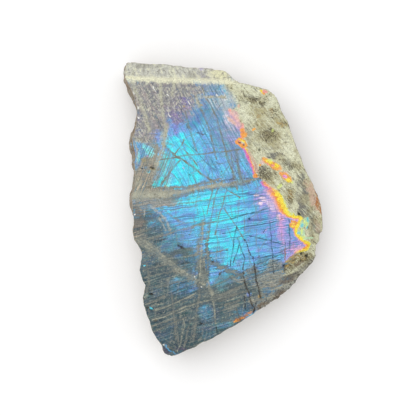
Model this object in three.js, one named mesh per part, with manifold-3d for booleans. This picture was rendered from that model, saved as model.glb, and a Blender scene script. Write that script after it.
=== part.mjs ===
// A hand-size slab of labradorite, lying on its sawn back with its polished face up.
// Millimetres. +Z points out of the polished face, +Y runs along the slab's length, and the origin
// lies on the back under the middle of the slab.
import * as THREE from 'three';
import { mergeVertices } from 'three/addons/utils/BufferGeometryUtils.js';
import Module from 'manifold-3d';

const wasm = await Module();
wasm.setup();

// Driving dimensions
const slabThickness = 18;
const longestWallStep = 2.6; // outline edges longer than this are split evenly
const wallRoughness = 0.9; // how deep the broken walls are dented between back and rim
const slowDent = { along: 0.5, up: 5.3 }; // radians of the long wave of dents per wall point, and up the wall
const quickDent = { along: 2.17, up: 31 }; // the same for the short wave
const spreadFrom = 0.62; // the wall spreads outwards from the rim down to this share of the thickness
const undercutCurve = 1.5; // above 1, the wall draws in mostly near the back
const cutterReach = 70; // how far a cutting block reaches past the stone

// Heights of the wall's rings, as shares of the thickness, from the back to the polished rim
const ringShares = [0, 0.06, 0.16, 0.28, 0.4, 0.52, 0.64, 0.76, 0.87, 0.95, 1];

// The broken outline, seen from above and taken counterclockwise. Each point is [x, y, lean]: with a lean
// above 0 the wall spreads that far outwards below the polished rim, and with a lean below 0 it draws in
// that far towards the back.
const leftEdge = [
  [-38.9, 59.2, 0.8], [-40.2, 57.6, 1.2], [-40.6, 55.2, 1.3], [-40.6, 52, 1.2], [-39.6, 50, 1.3],
  [-38.8, 47.6, 1.8], [-37.4, 44.2, 1.8], [-35.6, 40.2, 1.1], [-35.4, 38.2, 0.9], [-36.1, 33.8, 1.2],
  [-37.6, 30.3, 1.9], [-38.2, 27, 2.2], [-38.1, 24.6, 2.2], [-37.3, 21, 2], [-37.5, 18.4, 1.9],
  [-36.8, 14.6, 1.5], [-36.8, 11, 1.5], [-36.8, 8.2, 1.4], [-37.7, 5.5, 1.5], [-38.1, 3, 1.6],
  [-38, 0.8, 1.4], [-36.3, -4.6, 0.4], [-36, -8.6, 0], [-35.8, -12.4, -1.4], [-34.5, -14.4, -1.8],
  [-33.1, -16.8, -2.1], [-32.9, -19.4, -2.3], [-33.6, -24.6, -2.5], [-32, -29, -2],
  [-31.3, -30.1, -1.8], [-31.7, -33.4, -2], [-32.3, -35.3, -2.2], [-31.8, -40.2, -2],
  [-29.8, -44.6, -2], [-28.8, -48.4, -2], [-26.5, -52.4, -1.8],
];
const lowerTip = [
  [-24.7, -55, -1.4], [-24.8, -56.8, -1], [-23.5, -58.3, -0.8], [-21, -59.1, -0.8], [-18.4, -58.5, -1.2],
];
const lowerEdge = [
  [-14.8, -56.7, -2], [-11.2, -55.4, -2.4], [-8.4, -53.4, -2.6], [-6.2, -52.7, -2.6], [-2.8, -50.7, -2.5],
  [0, -48.9, -2.4], [3.6, -47.2, -2], [6.2, -45.6, -1.6], [12, -42.1, -1.2], [13.2, -40.8, -1.2],
  [16.8, -39.1, -1.4], [20.4, -36.5, -1.6], [23.2, -35.2, -1.8], [26.9, -32.4, -2], [29.4, -29.7, -2],
  [31.4, -26.3, -1.8], [33.4, -24, -1.6], [36.2, -21, -1.4],
];
const rightEdge = [
  [37.3, -18.9, -1.2], [37.1, -17.6, -1.2], [37.5, -15.4, -1.2], [38.6, -12.8, -1], [38.9, -11, -0.8],
  [38.5, -9.9, -0.6], [40, -9.3, -0.7], [40.2, -7.4, -1], [39.9, -3.4, -1], [39.2, 1.4, -1.2],
  [37.9, 5.6, -1.4], [36.4, 8.8, -1.5], [34.9, 11.8, -1.6], [33.1, 15.6, -1.8], [29.3, 25.2, -2.2],
  [26, 35, -2.2], [23.1, 39.4, -2], [22.3, 42, -1.8], [21.2, 44.7, -1.6],
];
const topEdge = [
  [19.6, 46.4, -1.6], [17.4, 48, -1.6], [14, 49.2, -1.6], [10.4, 49.9, -1.6], [6.4, 50.6, -1.4],
  [4.7, 51.8, -1.2], [2.3, 53.9, -1.2], [0.3, 55.1, -1.4], [-2.4, 55.6, -1.6], [-5, 56.4, -1.8],
  [-15, 57.1, -2], [-20.6, 57.7, -2], [-25, 58.3, -2], [-29, 58.3, -1.8], [-33, 58.8, -1.2],
];
const outline = [...leftEdge, ...lowerTip, ...lowerEdge, ...rightEdge, ...topEdge];

// Flat facets that start at the polished face on the line from-to and fall outwards by an angle in degrees.
// from-to runs counterclockwise, so that the stone is on its left.
const facets = [
  { from: [3, 51.4], to: [-40, 51.4], fall: 12 }, // the shallow strip along the top
  { from: [23.4, 40], to: [4.5, 47.5], fall: 12 }, // the upper-right shoulder
  { from: [33.8, 12], to: [22.8, 38], fall: 38 }, // the narrow bevel of the right edge
  { from: [33.3, -14], to: [34.4, 12], fall: 22 }, // the wide facet above the notch
  { from: [12, -41.5], to: [36.4, -21.5], fall: 42 }, // the broken lower-right rim
  { from: [-25, -53], to: [-17.6, -58.6], fall: 38 }, // the broken tip
];

// Short steps broken down from the polished face: each drops by sink on its line, then falls outwards
const steps = [
  { from: [14.6, -38.4], to: [20.6, -31.6], sink: 0.7, fall: 14 },
  { from: [20, -31.8], to: [25.4, -26.6], sink: 1.3, fall: 20 },
  { from: [25, -26.6], to: [30.4, -24.4], sink: 1.6, fall: 10 },
  { from: [30, -24.4], to: [35.4, -20.4], sink: 0.8, fall: 16 },
  { from: [21.6, -33.2], to: [26.6, -30.8], sink: 2.6, fall: 16 },
  { from: [-24.6, -54.6], to: [-19.6, -57.6], sink: 0.7, fall: 20 },
  { from: [-31, -38.8], to: [-30.6, -41.4], sink: 0.6, fall: 14 },
  { from: [38.2, -12.4], to: [37.6, -8.4], sink: 1.1, fall: 20 },
];

// Shell-shaped chips out of the polished rim: [x, y, radius of the chip's mouth, depth]
const rimChips = [
  [17.2, -38.2, 2, 1.1], [23.4, -34.4, 2.4, 1.6], [28.8, -28.4, 3, 2], [32.4, -24.6, 2, 1.2],
  [36.6, -18.6, 2, 1.1], [2.4, -48, 1.4, 0.6], [-9.8, -54.6, 1.4, 0.5], [-24, -56.4, 1.8, 1.2],
  [-27.6, -50, 1.5, 0.6], [-31.2, -30.4, 1.5, 0.8], [-32.9, -17.4, 1.7, 0.7], [-34.8, 39.6, 1.4, 0.7],
  [-36.6, 45.8, 1.3, 0.8], [3.4, 52.6, 1.8, 0.8], [20.4, 45.4, 1.8, 0.7], [-36.2, 20.6, 1.2, 0.6],
];

// Open pits in the polished face: [x, y, radius, depth]
const facePits = [
  [30.5, -2.2, 0.9, 0.7], [31.5, -17.9, 0.9, 0.6], [33.4, -18.8, 1, 0.7], [31, -20.6, 0.8, 0.5],
  [24.6, -22.8, 1, 0.7], [10.7, -4.2, 0.7, 0.4], [-28, 16.4, 1, 0.5], [14.6, 23.6, 0.8, 0.5],
  [19.6, 28.6, 1.2, 0.5], [15.2, 41.2, 1.2, 0.5], [-28.8, -34.2, 1, 0.5], [-8.6, -45.6, 0.9, 0.4],
];

// Flat breaks in the walls: each starts below the rim and leans inwards on its way down to the back
const breakCount = 34;
const breakSeed = 23;
const breakLength = { least: 8, most: 20 };
const breakLean = { least: 2, most: 11 }; // degrees
const breakBite = { least: 0.2, most: 0.9 }; // depth of the ledge at its upper end
const breakTop = { least: 0.42, most: 0.8 }; // share of the thickness where it starts under an undercut rim
const breakTopBelowSpread = { least: 0.2, most: 0.5 }; // the same where the wall spreads outwards
const breakTwist = 11; // degrees either way from the run of the wall
const breakRoll = 9; // degrees either way from level
const breakWander = 0.8; // how far a break may stray from its even place, in spaces between breaks
const breakBlock = 30;

// Chips along the rim of the sawn back
const backChipCount = 17;
const backChipSeed = 5;
const backChipRadius = { least: 1.8, most: 3.6 };
const backChipReach = 0.45; // how far the middle of a chip lies outside the wall, in radii
const backChipDrop = 0.35; // and below the back, in radii

// Fineness of the balls that leave the chips, the pits and the back's chips
const chipDetail = 2;
const pitDetail = 1;

const stone = new THREE.MeshStandardMaterial({
  name: 'labradorite',
  color: 0x5f8a9c,
  roughness: 0.35,
  metalness: 0,
});

function between(range) {
  return range.least + (range.most - range.least) * THREE.MathUtils.seededRandom();
}

function eitherWay(degrees) {
  return THREE.MathUtils.degToRad(degrees) * (2 * THREE.MathUtils.seededRandom() - 1);
}

function asManifold(geometry) {
  const plain = geometry.clone();
  plain.deleteAttribute('normal');
  plain.deleteAttribute('uv');
  const merged = mergeVertices(plain, 1e-4);
  return new wasm.Manifold(
    new wasm.Mesh({
      numProp: 3,
      vertProperties: merged.attributes.position.array,
      triVerts: new Uint32Array(merged.index.array),
    }),
  );
}

function asGeometry(solid) {
  const mesh = solid.getMesh();
  const geometry = new THREE.BufferGeometry();
  geometry.setAttribute('position', new THREE.BufferAttribute(mesh.vertProperties, 3));
  geometry.setIndex(new THREE.BufferAttribute(mesh.triVerts, 1));
  geometry.computeVertexNormals();
  return geometry;
}

// The outline with its long edges split evenly, each point with its lean and its outward direction
function wallPoints() {
  const points = [];
  outline.forEach((start, index) => {
    const end = outline[(index + 1) % outline.length];
    const pieces = Math.ceil(Math.hypot(end[0] - start[0], end[1] - start[1]) / longestWallStep);
    for (let piece = 0; piece < pieces; piece += 1) {
      const share = piece / pieces;
      const [x, y, lean] = start.map((value, axis) => THREE.MathUtils.lerp(value, end[axis], share));
      points.push({ at: new THREE.Vector2(x, y), lean });
    }
  });
  points.forEach((point, index) => {
    const before = points[(index + points.length - 1) % points.length].at;
    const after = points[(index + 1) % points.length].at;
    const along = after.clone().sub(before).normalize();
    point.outward = new THREE.Vector2(along.y, -along.x);
  });
  return points;
}

// Dents of a broken wall, between 0 and 1: a slow wave along the wall and a quick one across its rings
function dent(index, share) {
  const slow = Math.sin(index * slowDent.along + share * slowDent.up);
  const quick = Math.sin(index * quickDent.along + share * quickDent.up);
  return (2 + slow + quick) / 4;
}

// How far a wall point lies inside the outline at a height, given as a share of the thickness
function setback(point, index, share) {
  const spread = Math.max(point.lean, 0) * THREE.MathUtils.smoothstep(share, spreadFrom, 1);
  const undercut = Math.max(-point.lean, 0) * (1 - share) ** undercutCurve;
  const middle = Math.sin(Math.PI * share);
  return spread + undercut + wallRoughness * middle * dent(index, share);
}

// The rough block: a stack of rings from the back to the polished rim, closed by two flat caps
function roughBlock() {
  const points = wallPoints();
  const vertices = [];
  const triangles = [];
  ringShares.forEach((share) => {
    points.forEach((point, index) => {
      const inside = setback(point, index, share);
      const x = point.at.x - point.outward.x * inside;
      const y = point.at.y - point.outward.y * inside;
      vertices.push(x, y, share * slabThickness);
    });
  });
  const count = points.length;
  for (let ring = 0; ring < ringShares.length - 1; ring += 1) {
    for (let index = 0; index < count; index += 1) {
      const next = (index + 1) % count;
      const low = ring * count;
      const high = low + count;
      triangles.push(low + index, low + next, high + next);
      triangles.push(low + index, high + next, high + index);
    }
  }
  const ringCorners = (start) =>
    points.map((point, index) => {
      const place = (start + index) * 3;
      return new THREE.Vector2(vertices[place], vertices[place + 1]);
    });
  const top = (ringShares.length - 1) * count;
  THREE.ShapeUtils.triangulateShape(ringCorners(top), []).forEach(([a, b, c]) => {
    triangles.push(top + a, top + b, top + c);
  });
  THREE.ShapeUtils.triangulateShape(ringCorners(0), []).forEach(([a, b, c]) => {
    triangles.push(a, c, b);
  });
  const geometry = new THREE.BufferGeometry();
  geometry.setAttribute('position', new THREE.Float32BufferAttribute(vertices, 3));
  geometry.setIndex(triangles);
  return asManifold(geometry);
}

// The block that planes a facet or breaks a step: its lower face starts on the line and falls outwards
function facetCutter({ from, to, fall, sink = 0 }, length) {
  const block = new THREE.BoxGeometry(length, cutterReach, cutterReach);
  block.translate(0, cutterReach / 2, cutterReach / 2);
  block.rotateX(-THREE.MathUtils.degToRad(fall));
  block.rotateZ(Math.atan2(from[1] - to[1], from[0] - to[0]));
  block.translate((from[0] + to[0]) / 2, (from[1] + to[1]) / 2, slabThickness - sink);
  return asManifold(block);
}

function stepCutter(step) {
  return facetCutter(step, Math.hypot(step.to[0] - step.from[0], step.to[1] - step.from[1]));
}

// A ball that leaves a shell-shaped hollow with the given mouth and depth in the polished face
function scoop([x, y, mouth, depth], detail) {
  const radius = (mouth ** 2 + depth ** 2) / (2 * depth);
  const ball = new THREE.IcosahedronGeometry(radius, detail);
  ball.rotateZ(x + y);
  ball.translate(x, y, slabThickness + radius - depth);
  return asManifold(ball);
}

// Flat breaks around the walls. The block's inner face starts on the wall and leans inwards going down.
function breakCutters() {
  const points = wallPoints();
  THREE.MathUtils.seededRandom(breakSeed);
  const cutters = [];
  for (let place = 0; place < breakCount; place += 1) {
    const wander = breakWander * THREE.MathUtils.seededRandom();
    const index = Math.floor(((place + wander) / breakCount) * points.length);
    const point = points[index];
    const share = between(point.lean > 0 ? breakTopBelowSpread : breakTop);
    const inside = setback(point, index, share) + between(breakBite);
    const block = new THREE.BoxGeometry(between(breakLength), breakBlock, breakBlock);
    block.translate(0, breakBlock / 2, -breakBlock / 2);
    block.rotateX(-THREE.MathUtils.degToRad(between(breakLean)));
    block.rotateY(eitherWay(breakRoll));
    block.rotateZ(Math.atan2(point.outward.y, point.outward.x) - Math.PI / 2 + eitherWay(breakTwist));
    block.translate(
      point.at.x - point.outward.x * inside,
      point.at.y - point.outward.y * inside,
      share * slabThickness,
    );
    cutters.push(asManifold(block));
  }
  return cutters;
}

// Chips that the saw and later knocks left along the rim of the back
function backChipCutters() {
  const points = wallPoints();
  THREE.MathUtils.seededRandom(backChipSeed);
  const cutters = [];
  for (let chip = 0; chip < backChipCount; chip += 1) {
    const spread = THREE.MathUtils.seededRandom();
    const index = Math.floor(((chip + spread) / backChipCount) * points.length);
    const point = points[index];
    const radius = between(backChipRadius);
    const inside = setback(point, index, 0) - radius * backChipReach;
    const ball = new THREE.IcosahedronGeometry(radius, pitDetail);
    ball.rotateZ(chip);
    ball.translate(
      point.at.x - point.outward.x * inside,
      point.at.y - point.outward.y * inside,
      -radius * backChipDrop,
    );
    cutters.push(asManifold(ball));
  }
  return cutters;
}

// The finished stone, set with the middle of its outline over the origin
function labradoriteSlab() {
  const cutters = [
    ...facets.map((facet) => facetCutter(facet, 2 * cutterReach)),
    ...steps.map(stepCutter),
    ...rimChips.map((chip) => scoop(chip, chipDetail)),
    ...facePits.map((pit) => scoop(pit, pitDetail)),
    ...breakCutters(),
    ...backChipCutters(),
  ];
  const solid = cutters.reduce((rest, cutter) => rest.subtract(cutter), roughBlock());
  const geometry = asGeometry(solid);
  geometry.computeBoundingBox();
  const middle = geometry.boundingBox.getCenter(new THREE.Vector3());
  geometry.translate(-middle.x, -middle.y, 0);
  const mesh = new THREE.Mesh(geometry, stone);
  mesh.name = 'labradorite_slab';
  return mesh;
}

const slab = new THREE.Group();
slab.name = 'semi_polished_labradorite_slab';
slab.add(labradoriteSlab());

export default slab;
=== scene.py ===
import math
import random
from functools import reduce

import bpy
import numpy as np
from mathutils import Matrix, Vector


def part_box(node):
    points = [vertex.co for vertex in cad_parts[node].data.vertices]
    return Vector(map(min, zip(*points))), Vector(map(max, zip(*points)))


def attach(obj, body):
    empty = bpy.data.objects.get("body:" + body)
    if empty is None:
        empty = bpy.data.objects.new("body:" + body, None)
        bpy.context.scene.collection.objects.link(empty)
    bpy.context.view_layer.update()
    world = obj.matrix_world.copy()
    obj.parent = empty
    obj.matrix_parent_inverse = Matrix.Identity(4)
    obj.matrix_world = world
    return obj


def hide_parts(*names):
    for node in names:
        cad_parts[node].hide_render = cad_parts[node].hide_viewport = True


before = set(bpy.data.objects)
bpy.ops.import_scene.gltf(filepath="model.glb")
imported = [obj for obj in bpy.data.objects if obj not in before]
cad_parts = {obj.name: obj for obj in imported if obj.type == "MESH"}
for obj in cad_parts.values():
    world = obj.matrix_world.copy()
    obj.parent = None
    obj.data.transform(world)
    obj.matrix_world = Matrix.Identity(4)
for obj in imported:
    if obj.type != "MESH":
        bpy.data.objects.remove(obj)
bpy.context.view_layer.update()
print("frame loaded")

millimetre = 0.001
stoneNode = "labradorite_slab"
lowCorner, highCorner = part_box(stoneNode)
thickness = (highCorner[2] - lowCorner[2]) / millimetre

# The stone's mesh is a fine copy of the CAD solid with its broken sides roughened. Sizes are in mm.
stoneShape = {
    "voxel": 0.42,  # between the fine mesh's points
    "keptFaces": 0.72,  # share of the fine mesh's faces left once its flats are thinned out
    "edgeSoftening": 3,  # smoothing passes that round the sawn and broken edges
    "wallRelief": 0.42,  # depth of the lumps on the broken walls
    "wallLump": 4.6,  # and their size
    "wallSteps": 0.34,  # depth of the cleavage steps on the walls
    "cleavageBlock": (7.0, 4.2, 3.1),  # size of the blocks that leave those steps
    "cleavageTurn": (12, 9),  # degrees that the blocks are turned about Z, then X
    "wallGrit": 0.16,  # depth of the finest roughness on the walls
    "gritLump": 1.1,  # and its size
    "wallGrowth": 0.24,  # pushes the walls out as far as the relief and smoothing draw them in
    "rimNibble": 0.22,  # how far small breaks eat into the polished rim
    "nibbleLump": 2.3,  # and their size
    "backFade": 1.2,  # height above the back over which the relief grows
    "rimFade": 1.6,  # depth below the rim over which it grows
    "chamferRelief": 0.3,  # depth of the lumps on the broken chamfer
    "chamferLump": 1.6,  # and their size
    "chamferGrit": 0.16,  # depth of the finest roughness there
    "chamferGritLump": 0.7,  # and its size
    "chamferSink": 0.12,  # how far the chamfer lies below its lumps' middle
    "pitRadius": (0.35, 0.75),  # of the small crowded pits, least and most
    "pitDepth": (0.1, 0.34),
    "pitSeed": 4,
}

# Open pits in the polished face, in mm: x, y, radius, depth
openPits = [
    (30.5, -2.2, 0.8, 0.7), (31.5, -17.9, 0.8, 0.6), (33.4, -18.8, 0.9, 0.7), (31, -20.6, 0.7, 0.5),
    (24.6, -22.8, 0.9, 0.6), (10.7, -4.2, 0.7, 0.4), (9, -12.5, 0.7, 0.4), (-13, 13.5, 0.6, 0.3),
    (-28, 16.4, 0.9, 0.4), (14.6, 23.6, 0.7, 0.5), (-28.6, -34.2, 0.8, 0.4), (-8.4, -45.8, 0.8, 0.3),
    (-16.6, -15.4, 0.8, 0.3), (-4, -21, 0.7, 0.3), (7, 26.4, 0.5, 0.3), (8.4, 25.4, 0.5, 0.3),
]

# Where small pits crowd together: x, y, half-widths and how many
pittedZones = [
    (18, 29.5, 5, 3.5, 34), (16.5, 14, 4, 4, 26), (12, 43.5, 7, 2, 16), (27, 17, 3, 2, 10),
    (33, -19, 3, 3, 14), (26, -24, 2.5, 2, 10), (27, 6, 2, 4, 8), (20, 38, 3, 3, 12),
]


def beyondChamfer(x, y):
    # mm past the straight line on which the broken chamfer of the lower right starts
    return 0.654 * x - 0.757 * y - 38.6


def useModifiers(piece):
    # the piece takes the mesh that its modifiers make
    graph = bpy.context.evaluated_depsgraph_get()
    mesh = bpy.data.meshes.new_from_object(piece.evaluated_get(graph))
    piece.modifiers.clear()
    piece.data = mesh


def fineCopy(node):
    # the CAD solid as an even mesh of small faces
    piece = bpy.data.objects.new("labradorite_stone", node.data.copy())
    bpy.context.scene.collection.objects.link(piece)
    remesh = piece.modifiers.new("even", "REMESH")
    remesh.mode = "VOXEL"
    remesh.voxel_size = stoneShape["voxel"] * millimetre
    useModifiers(piece)
    return piece


def thinOut(piece):
    # fewer faces where the stone is flat
    thin = piece.modifiers.new("thin", "DECIMATE")
    thin.ratio = stoneShape["keptFaces"]
    useModifiers(piece)


def readAll(items, key, width=1, kind=float):
    # one value, or a row of values, for each vertex, edge, corner or face
    found = np.empty(len(items) * width, kind)
    items.foreach_get(key, found)
    return found.reshape(-1, width) if width > 1 else found


def pointsOf(mesh):
    return readAll(mesh.vertices, "co", 3) / millimetre


def putBack(mesh, points):
    mesh.vertices.foreach_set("co", (points * millimetre).ravel())
    mesh.update()


def soften(mesh, points, passes, share):
    first, second = readAll(mesh.edges, "vertices", 2, np.int32).T
    count = np.bincount(first, minlength=len(points)) + np.bincount(second, minlength=len(points))
    for _ in range(passes):
        total = np.stack([
            np.bincount(first, points[second, axis], len(points))
            + np.bincount(second, points[first, axis], len(points))
            for axis in range(3)
        ], 1)
        points = points + share * (total / count[:, None] - points)
    return points


def lumps(points, size, seed):
    # smooth random lumps from -1 to 1, drawn from a box of random values
    box = np.random.default_rng(seed).uniform(-1, 1, (64, 64, 64))
    cell, part = np.divmod(points / size + 300, 1)
    part = part * part * (3 - 2 * part)
    total = np.zeros(len(points))
    for corner in np.ndindex(2, 2, 2):
        i, j, k = ((cell + corner).astype(int) % 64).T
        total += box[i, j, k] * np.prod(np.where(corner, part, 1 - part), 1)
    return total


def cleavageSteps(points, seed):
    # blocks along the two cleavages, each set back by its own amount
    aboutZ, aboutX = (math.radians(turn) for turn in stoneShape["cleavageTurn"])
    turn = Matrix.Rotation(aboutZ, 3, "Z") @ Matrix.Rotation(aboutX, 3, "X")
    turned = points @ np.array(turn).T / np.array(stoneShape["cleavageBlock"])
    wander = np.stack([lumps(turned, 1.7, seed + axis) for axis in range(3)], 1) * 0.3
    box = np.random.default_rng(seed).uniform(0, 1, (64, 64, 64))
    i, j, k = (np.floor(turned + wander + 300).astype(int) % 64).T
    return box[i, j, k]


def scatterPits():
    dice = random.Random(stoneShape["pitSeed"])
    pits = list(openPits)
    for x, y, halfWidth, halfHeight, count in pittedZones:
        for _ in range(count):
            angle = dice.uniform(0, 2 * math.pi)
            reach = math.sqrt(dice.random())
            pits.append((
                x + halfWidth * reach * math.cos(angle),
                y + halfHeight * reach * math.sin(angle),
                dice.uniform(*stoneShape["pitRadius"]),
                dice.uniform(*stoneShape["pitDepth"]),
            ))
    return pits


def shapeStone(piece):
    shape = stoneShape
    mesh = piece.data
    points = soften(mesh, pointsOf(mesh), shape["edgeSoftening"], 0.5)
    putBack(mesh, points)
    normals = readAll(mesh.vertices, "normal", 3)
    upward = normals[:, 2]
    sideways = 1 - np.clip((np.abs(upward) - 0.45) / 0.35, 0, 1)  # 1 on the walls
    offBack = np.clip(points[:, 2] / shape["backFade"], 0, 1)
    offRim = np.clip((thickness - points[:, 2]) / shape["rimFade"], 0, 1)
    outward = normals * (1, 1, 0.4)
    outward /= np.maximum(np.linalg.norm(outward, axis=1), 1e-6)[:, None]
    grit = shape["gritLump"]
    relief = shape["wallGrowth"] + shape["wallRelief"] * lumps(points, shape["wallLump"], 1)
    relief += shape["wallGrit"] * (lumps(points, grit, 2) + 0.6 * lumps(points, grit / 2, 3))
    relief -= shape["wallSteps"] * cleavageSteps(points, 5) * offBack * offRim
    nibble = shape["rimNibble"] * np.clip(lumps(points * (1, 1, 0.4), shape["nibbleLump"], 4) - 0.1, 0, 1)
    relief = relief * (0.25 + 0.75 * offRim) - nibble * (1 - offRim)
    points = points + outward * (relief * sideways * (0.2 + 0.8 * offBack))[:, None]
    # pits in the polished face
    onFace = np.clip((upward - 0.6) / 0.2, 0, 1) * (points[:, 2] > thickness - 5)
    sunk = np.zeros(len(points))
    for x, y, radius, depth in scatterPits():
        away = np.hypot(points[:, 0] - x, points[:, 1] - y) / radius
        sunk = np.maximum(sunk, depth * np.clip(1 - away ** 2, 0, 1) ** 0.7)
    points[:, 2] -= sunk * onFace
    # the broken chamfer is rough, the rest of the face is flat
    rough = np.clip(beyondChamfer(points[:, 0], points[:, 1]) / 0.8, 0, 1)
    crumbs = shape["chamferRelief"] * lumps(points, shape["chamferLump"], 6)
    crumbs = crumbs + shape["chamferGrit"] * lumps(points, shape["chamferGritLump"], 7) - shape["chamferSink"]
    points[:, 2] += onFace * rough * crumbs
    points[:, 2] = np.clip(points[:, 2], 0, thickness)
    putBack(mesh, points)


def layOutMap(mesh):
    # the polished face takes most of the map, the back and the walls share the rest
    length = 122.0  # mm across the whole map
    halfWide, halfLong = 41, 60.5  # mm from the stone's middle to the map's edge
    margin = 0.01
    backScale = 0.36
    strips = 4
    layer = mesh.uv_layers.new(name="OFBake")
    points = pointsOf(mesh)[readAll(mesh.loops, "vertex_index", 1, np.int32)]
    sides = readAll(mesh.polygons, "loop_total", 1, np.int32)
    upward = np.repeat(readAll(mesh.polygons, "normal", 3)[:, 2], sides)
    x, y, z = points.T
    front = np.stack([margin + (x + halfWide) / length, margin + (y + halfLong) / length], 1)
    back = np.stack([
        0.70 + (halfWide - x) / length * backScale,
        0.02 + (y + halfLong) / length * backScale,
    ], 1)
    # the walls go round in strips, and each face stays in the strip of its first corner
    around = np.arctan2(y, x) / (2 * math.pi) % 1
    first = np.repeat(around[np.cumsum(sides) - sides], sides)
    around += np.round(first - around)  # no face is torn where the count starts again
    strip = np.floor(first * strips)
    along = np.clip(around * strips - strip, -0.02, 1.02)
    up = (z + 0.025 * np.hypot(x, y)) / thickness
    wall = np.stack([0.705 + 0.28 * along, 0.45 + 0.13 * strip + 0.1 * up], 1)
    placed = np.where((upward > 0.5)[:, None], front, np.where((upward < -0.5)[:, None], back, wall))
    layer.uv.foreach_set("vector", placed.astype(np.float32).ravel())


class Wire:
    # a number on its way through the shader; sums written with it add Math nodes
    def __init__(self, bench, socket):
        self.bench = bench
        self.socket = socket

    def __add__(self, other):
        return self.bench.math("ADD", self, other)

    __radd__ = __add__

    def __sub__(self, other):
        return self.bench.math("SUBTRACT", self, other)

    def __rsub__(self, other):
        return self.bench.math("SUBTRACT", other, self)

    def __mul__(self, other):
        return self.bench.math("MULTIPLY", self, other)

    __rmul__ = __mul__

    def __truediv__(self, other):
        return self.bench.math("DIVIDE", self, other)

    def __rtruediv__(self, other):
        return self.bench.math("DIVIDE", other, self)

    def __abs__(self):
        return self.bench.math("ABSOLUTE", self)


mixFirst, mixSecond, mixResult = 6, 7, 2  # the colour sockets of a Mix node


class Bench:
    # adds nodes to one material or to a group of nodes inside it
    def __init__(self, tree):
        self.tree = tree

    def part(self, name, build, feeds):
        # a named group of nodes: build gets a bench and the fed wires, and gives back what leaves the group
        tree = bpy.data.node_groups.new(name, "ShaderNodeTree")
        entry = tree.nodes.new("NodeGroupInput")
        leave = tree.nodes.new("NodeGroupOutput")
        for key, wire in feeds.items():
            self.addSocket(tree, key, "INPUT", wire)
        inner = Bench(tree)
        results = build(inner, *[Wire(inner, entry.outputs[key]) for key in feeds])
        for index, wire in enumerate(results):
            self.addSocket(tree, f"out{index}", "OUTPUT", wire)
            tree.links.new(wire.socket, leave.inputs[index])
        group = self.tree.nodes.new("ShaderNodeGroup")
        group.node_tree = tree
        for key, wire in feeds.items():
            self.tree.links.new(wire.socket, group.inputs[key])
        return [Wire(self, socket) for socket in group.outputs]

    def addSocket(self, tree, name, side, wire):
        kind = wire.socket.bl_idname.replace("FloatFactor", "Float")
        tree.interface.new_socket(name, in_out=side, socket_type=kind)

    def node(self, kind, settings=None, sockets=None, out=0):
        made = self.tree.nodes.new("ShaderNode" + kind)
        for name, value in (settings or {}).items():
            if name == "stops":
                self.setStops(made.color_ramp, value)
            elif name == "bends":
                self.setBends(made.mapping, value)
            else:
                setattr(made, name, value)
        for place, value in (sockets or {}).items():
            if isinstance(value, Wire):
                self.tree.links.new(value.socket, made.inputs[place])
            else:
                made.inputs[place].default_value = value
        return Wire(self, made.outputs[out])

    def setStops(self, ramp, stops):
        while len(ramp.elements) > 1:
            ramp.elements.remove(ramp.elements[-1])
        for index, (place, colour) in enumerate(stops):
            stop = ramp.elements[0] if index == 0 else ramp.elements.new(place)
            stop.position = place
            stop.color = (*colour, 1)

    def setBends(self, mapping, bends):
        curve = mapping.curves[0]
        for index, place in enumerate(bends):
            if index < 2:
                curve.points[index].location = place
            else:
                curve.points.new(*place)
        for point in curve.points:
            point.handle_type = "VECTOR"
        mapping.update()

    def math(self, operation, *values):
        return self.node("Math", {"operation": operation}, dict(enumerate(values)))

    def vector(self, operation, *values, out="Vector"):
        return self.node("VectorMath", {"operation": operation}, dict(enumerate(values)), out)

    def dot(self, value, direction):
        return self.vector("DOT_PRODUCT", value, direction, out="Value")

    def scaled(self, value, factor):
        return self.node("VectorMath", {"operation": "SCALE"}, {0: value, "Scale": factor})

    def join(self, x, y, z=0.0):
        return self.node("CombineXYZ", None, {0: x, 1: y, 2: z})

    def step(self, value, low, high):
        # 0 below low and 1 above high, with a smooth rise; falls instead where low is above high
        ends = {"From Min": low, "From Max": high}
        return self.node("MapRange", {"interpolation_type": "SMOOTHSTEP"}, {"Value": value, **ends})

    def least(self, first, second):
        return self.math("MINIMUM", first, second)

    def most(self, first, second):
        return self.math("MAXIMUM", first, second)

    def clamp(self, value):
        return self.node("Clamp", None, {0: value})

    def mix(self, first, second, share, blend="MIX"):
        colours = {"data_type": "RGBA", "blend_type": blend}
        pair = [c if isinstance(c, Wire) else (*c, 1) for c in (first, second)]
        return self.node("Mix", colours, {0: share, mixFirst: pair[0], mixSecond: pair[1]}, mixResult)

    def noise(self, at, scale, detail=2.0, roughness=0.55, out=0):
        sockets = {"Vector": at, "Scale": scale, "Detail": detail, "Roughness": roughness}
        return self.node("TexNoise", None, sockets, out)

    def grain(self, at, angle, along, across, seed, detail=2.0, roughness=0.55):
        # noise drawn out along an angle, with features of these sizes in mm
        turn = math.radians(angle)
        run = self.dot(at, (math.cos(turn) / along, math.sin(turn) / along, 0))
        rise = self.dot(at, (-math.sin(turn) / across, math.cos(turn) / across, 0))
        return self.noise(self.join(run, rise, seed), 1.0, detail, roughness)

    def scratches(self, at, angle, apart, seed):
        # straight scratches along an angle, at uneven distances of about this many mm, which come and go
        halfWidth = 0.12
        turn = math.radians(angle)
        across = self.dot(at, (-math.sin(turn) / apart, math.cos(turn) / apart, 0))
        bend = self.noise(at, 0.02, 0.0) * 9 + seed * 7.3
        edge = self.node("TexVoronoi", {"voronoi_dimensions": "1D", "feature": "DISTANCE_TO_EDGE"},
                         {"W": across + bend, "Scale": 1.0})
        line = self.step(edge, 2 * halfWidth / apart, halfWidth / apart)
        return line * self.step(self.grain(at, angle, 9, apart * 0.7, seed, 1.0), 0.47, 0.56)


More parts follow.
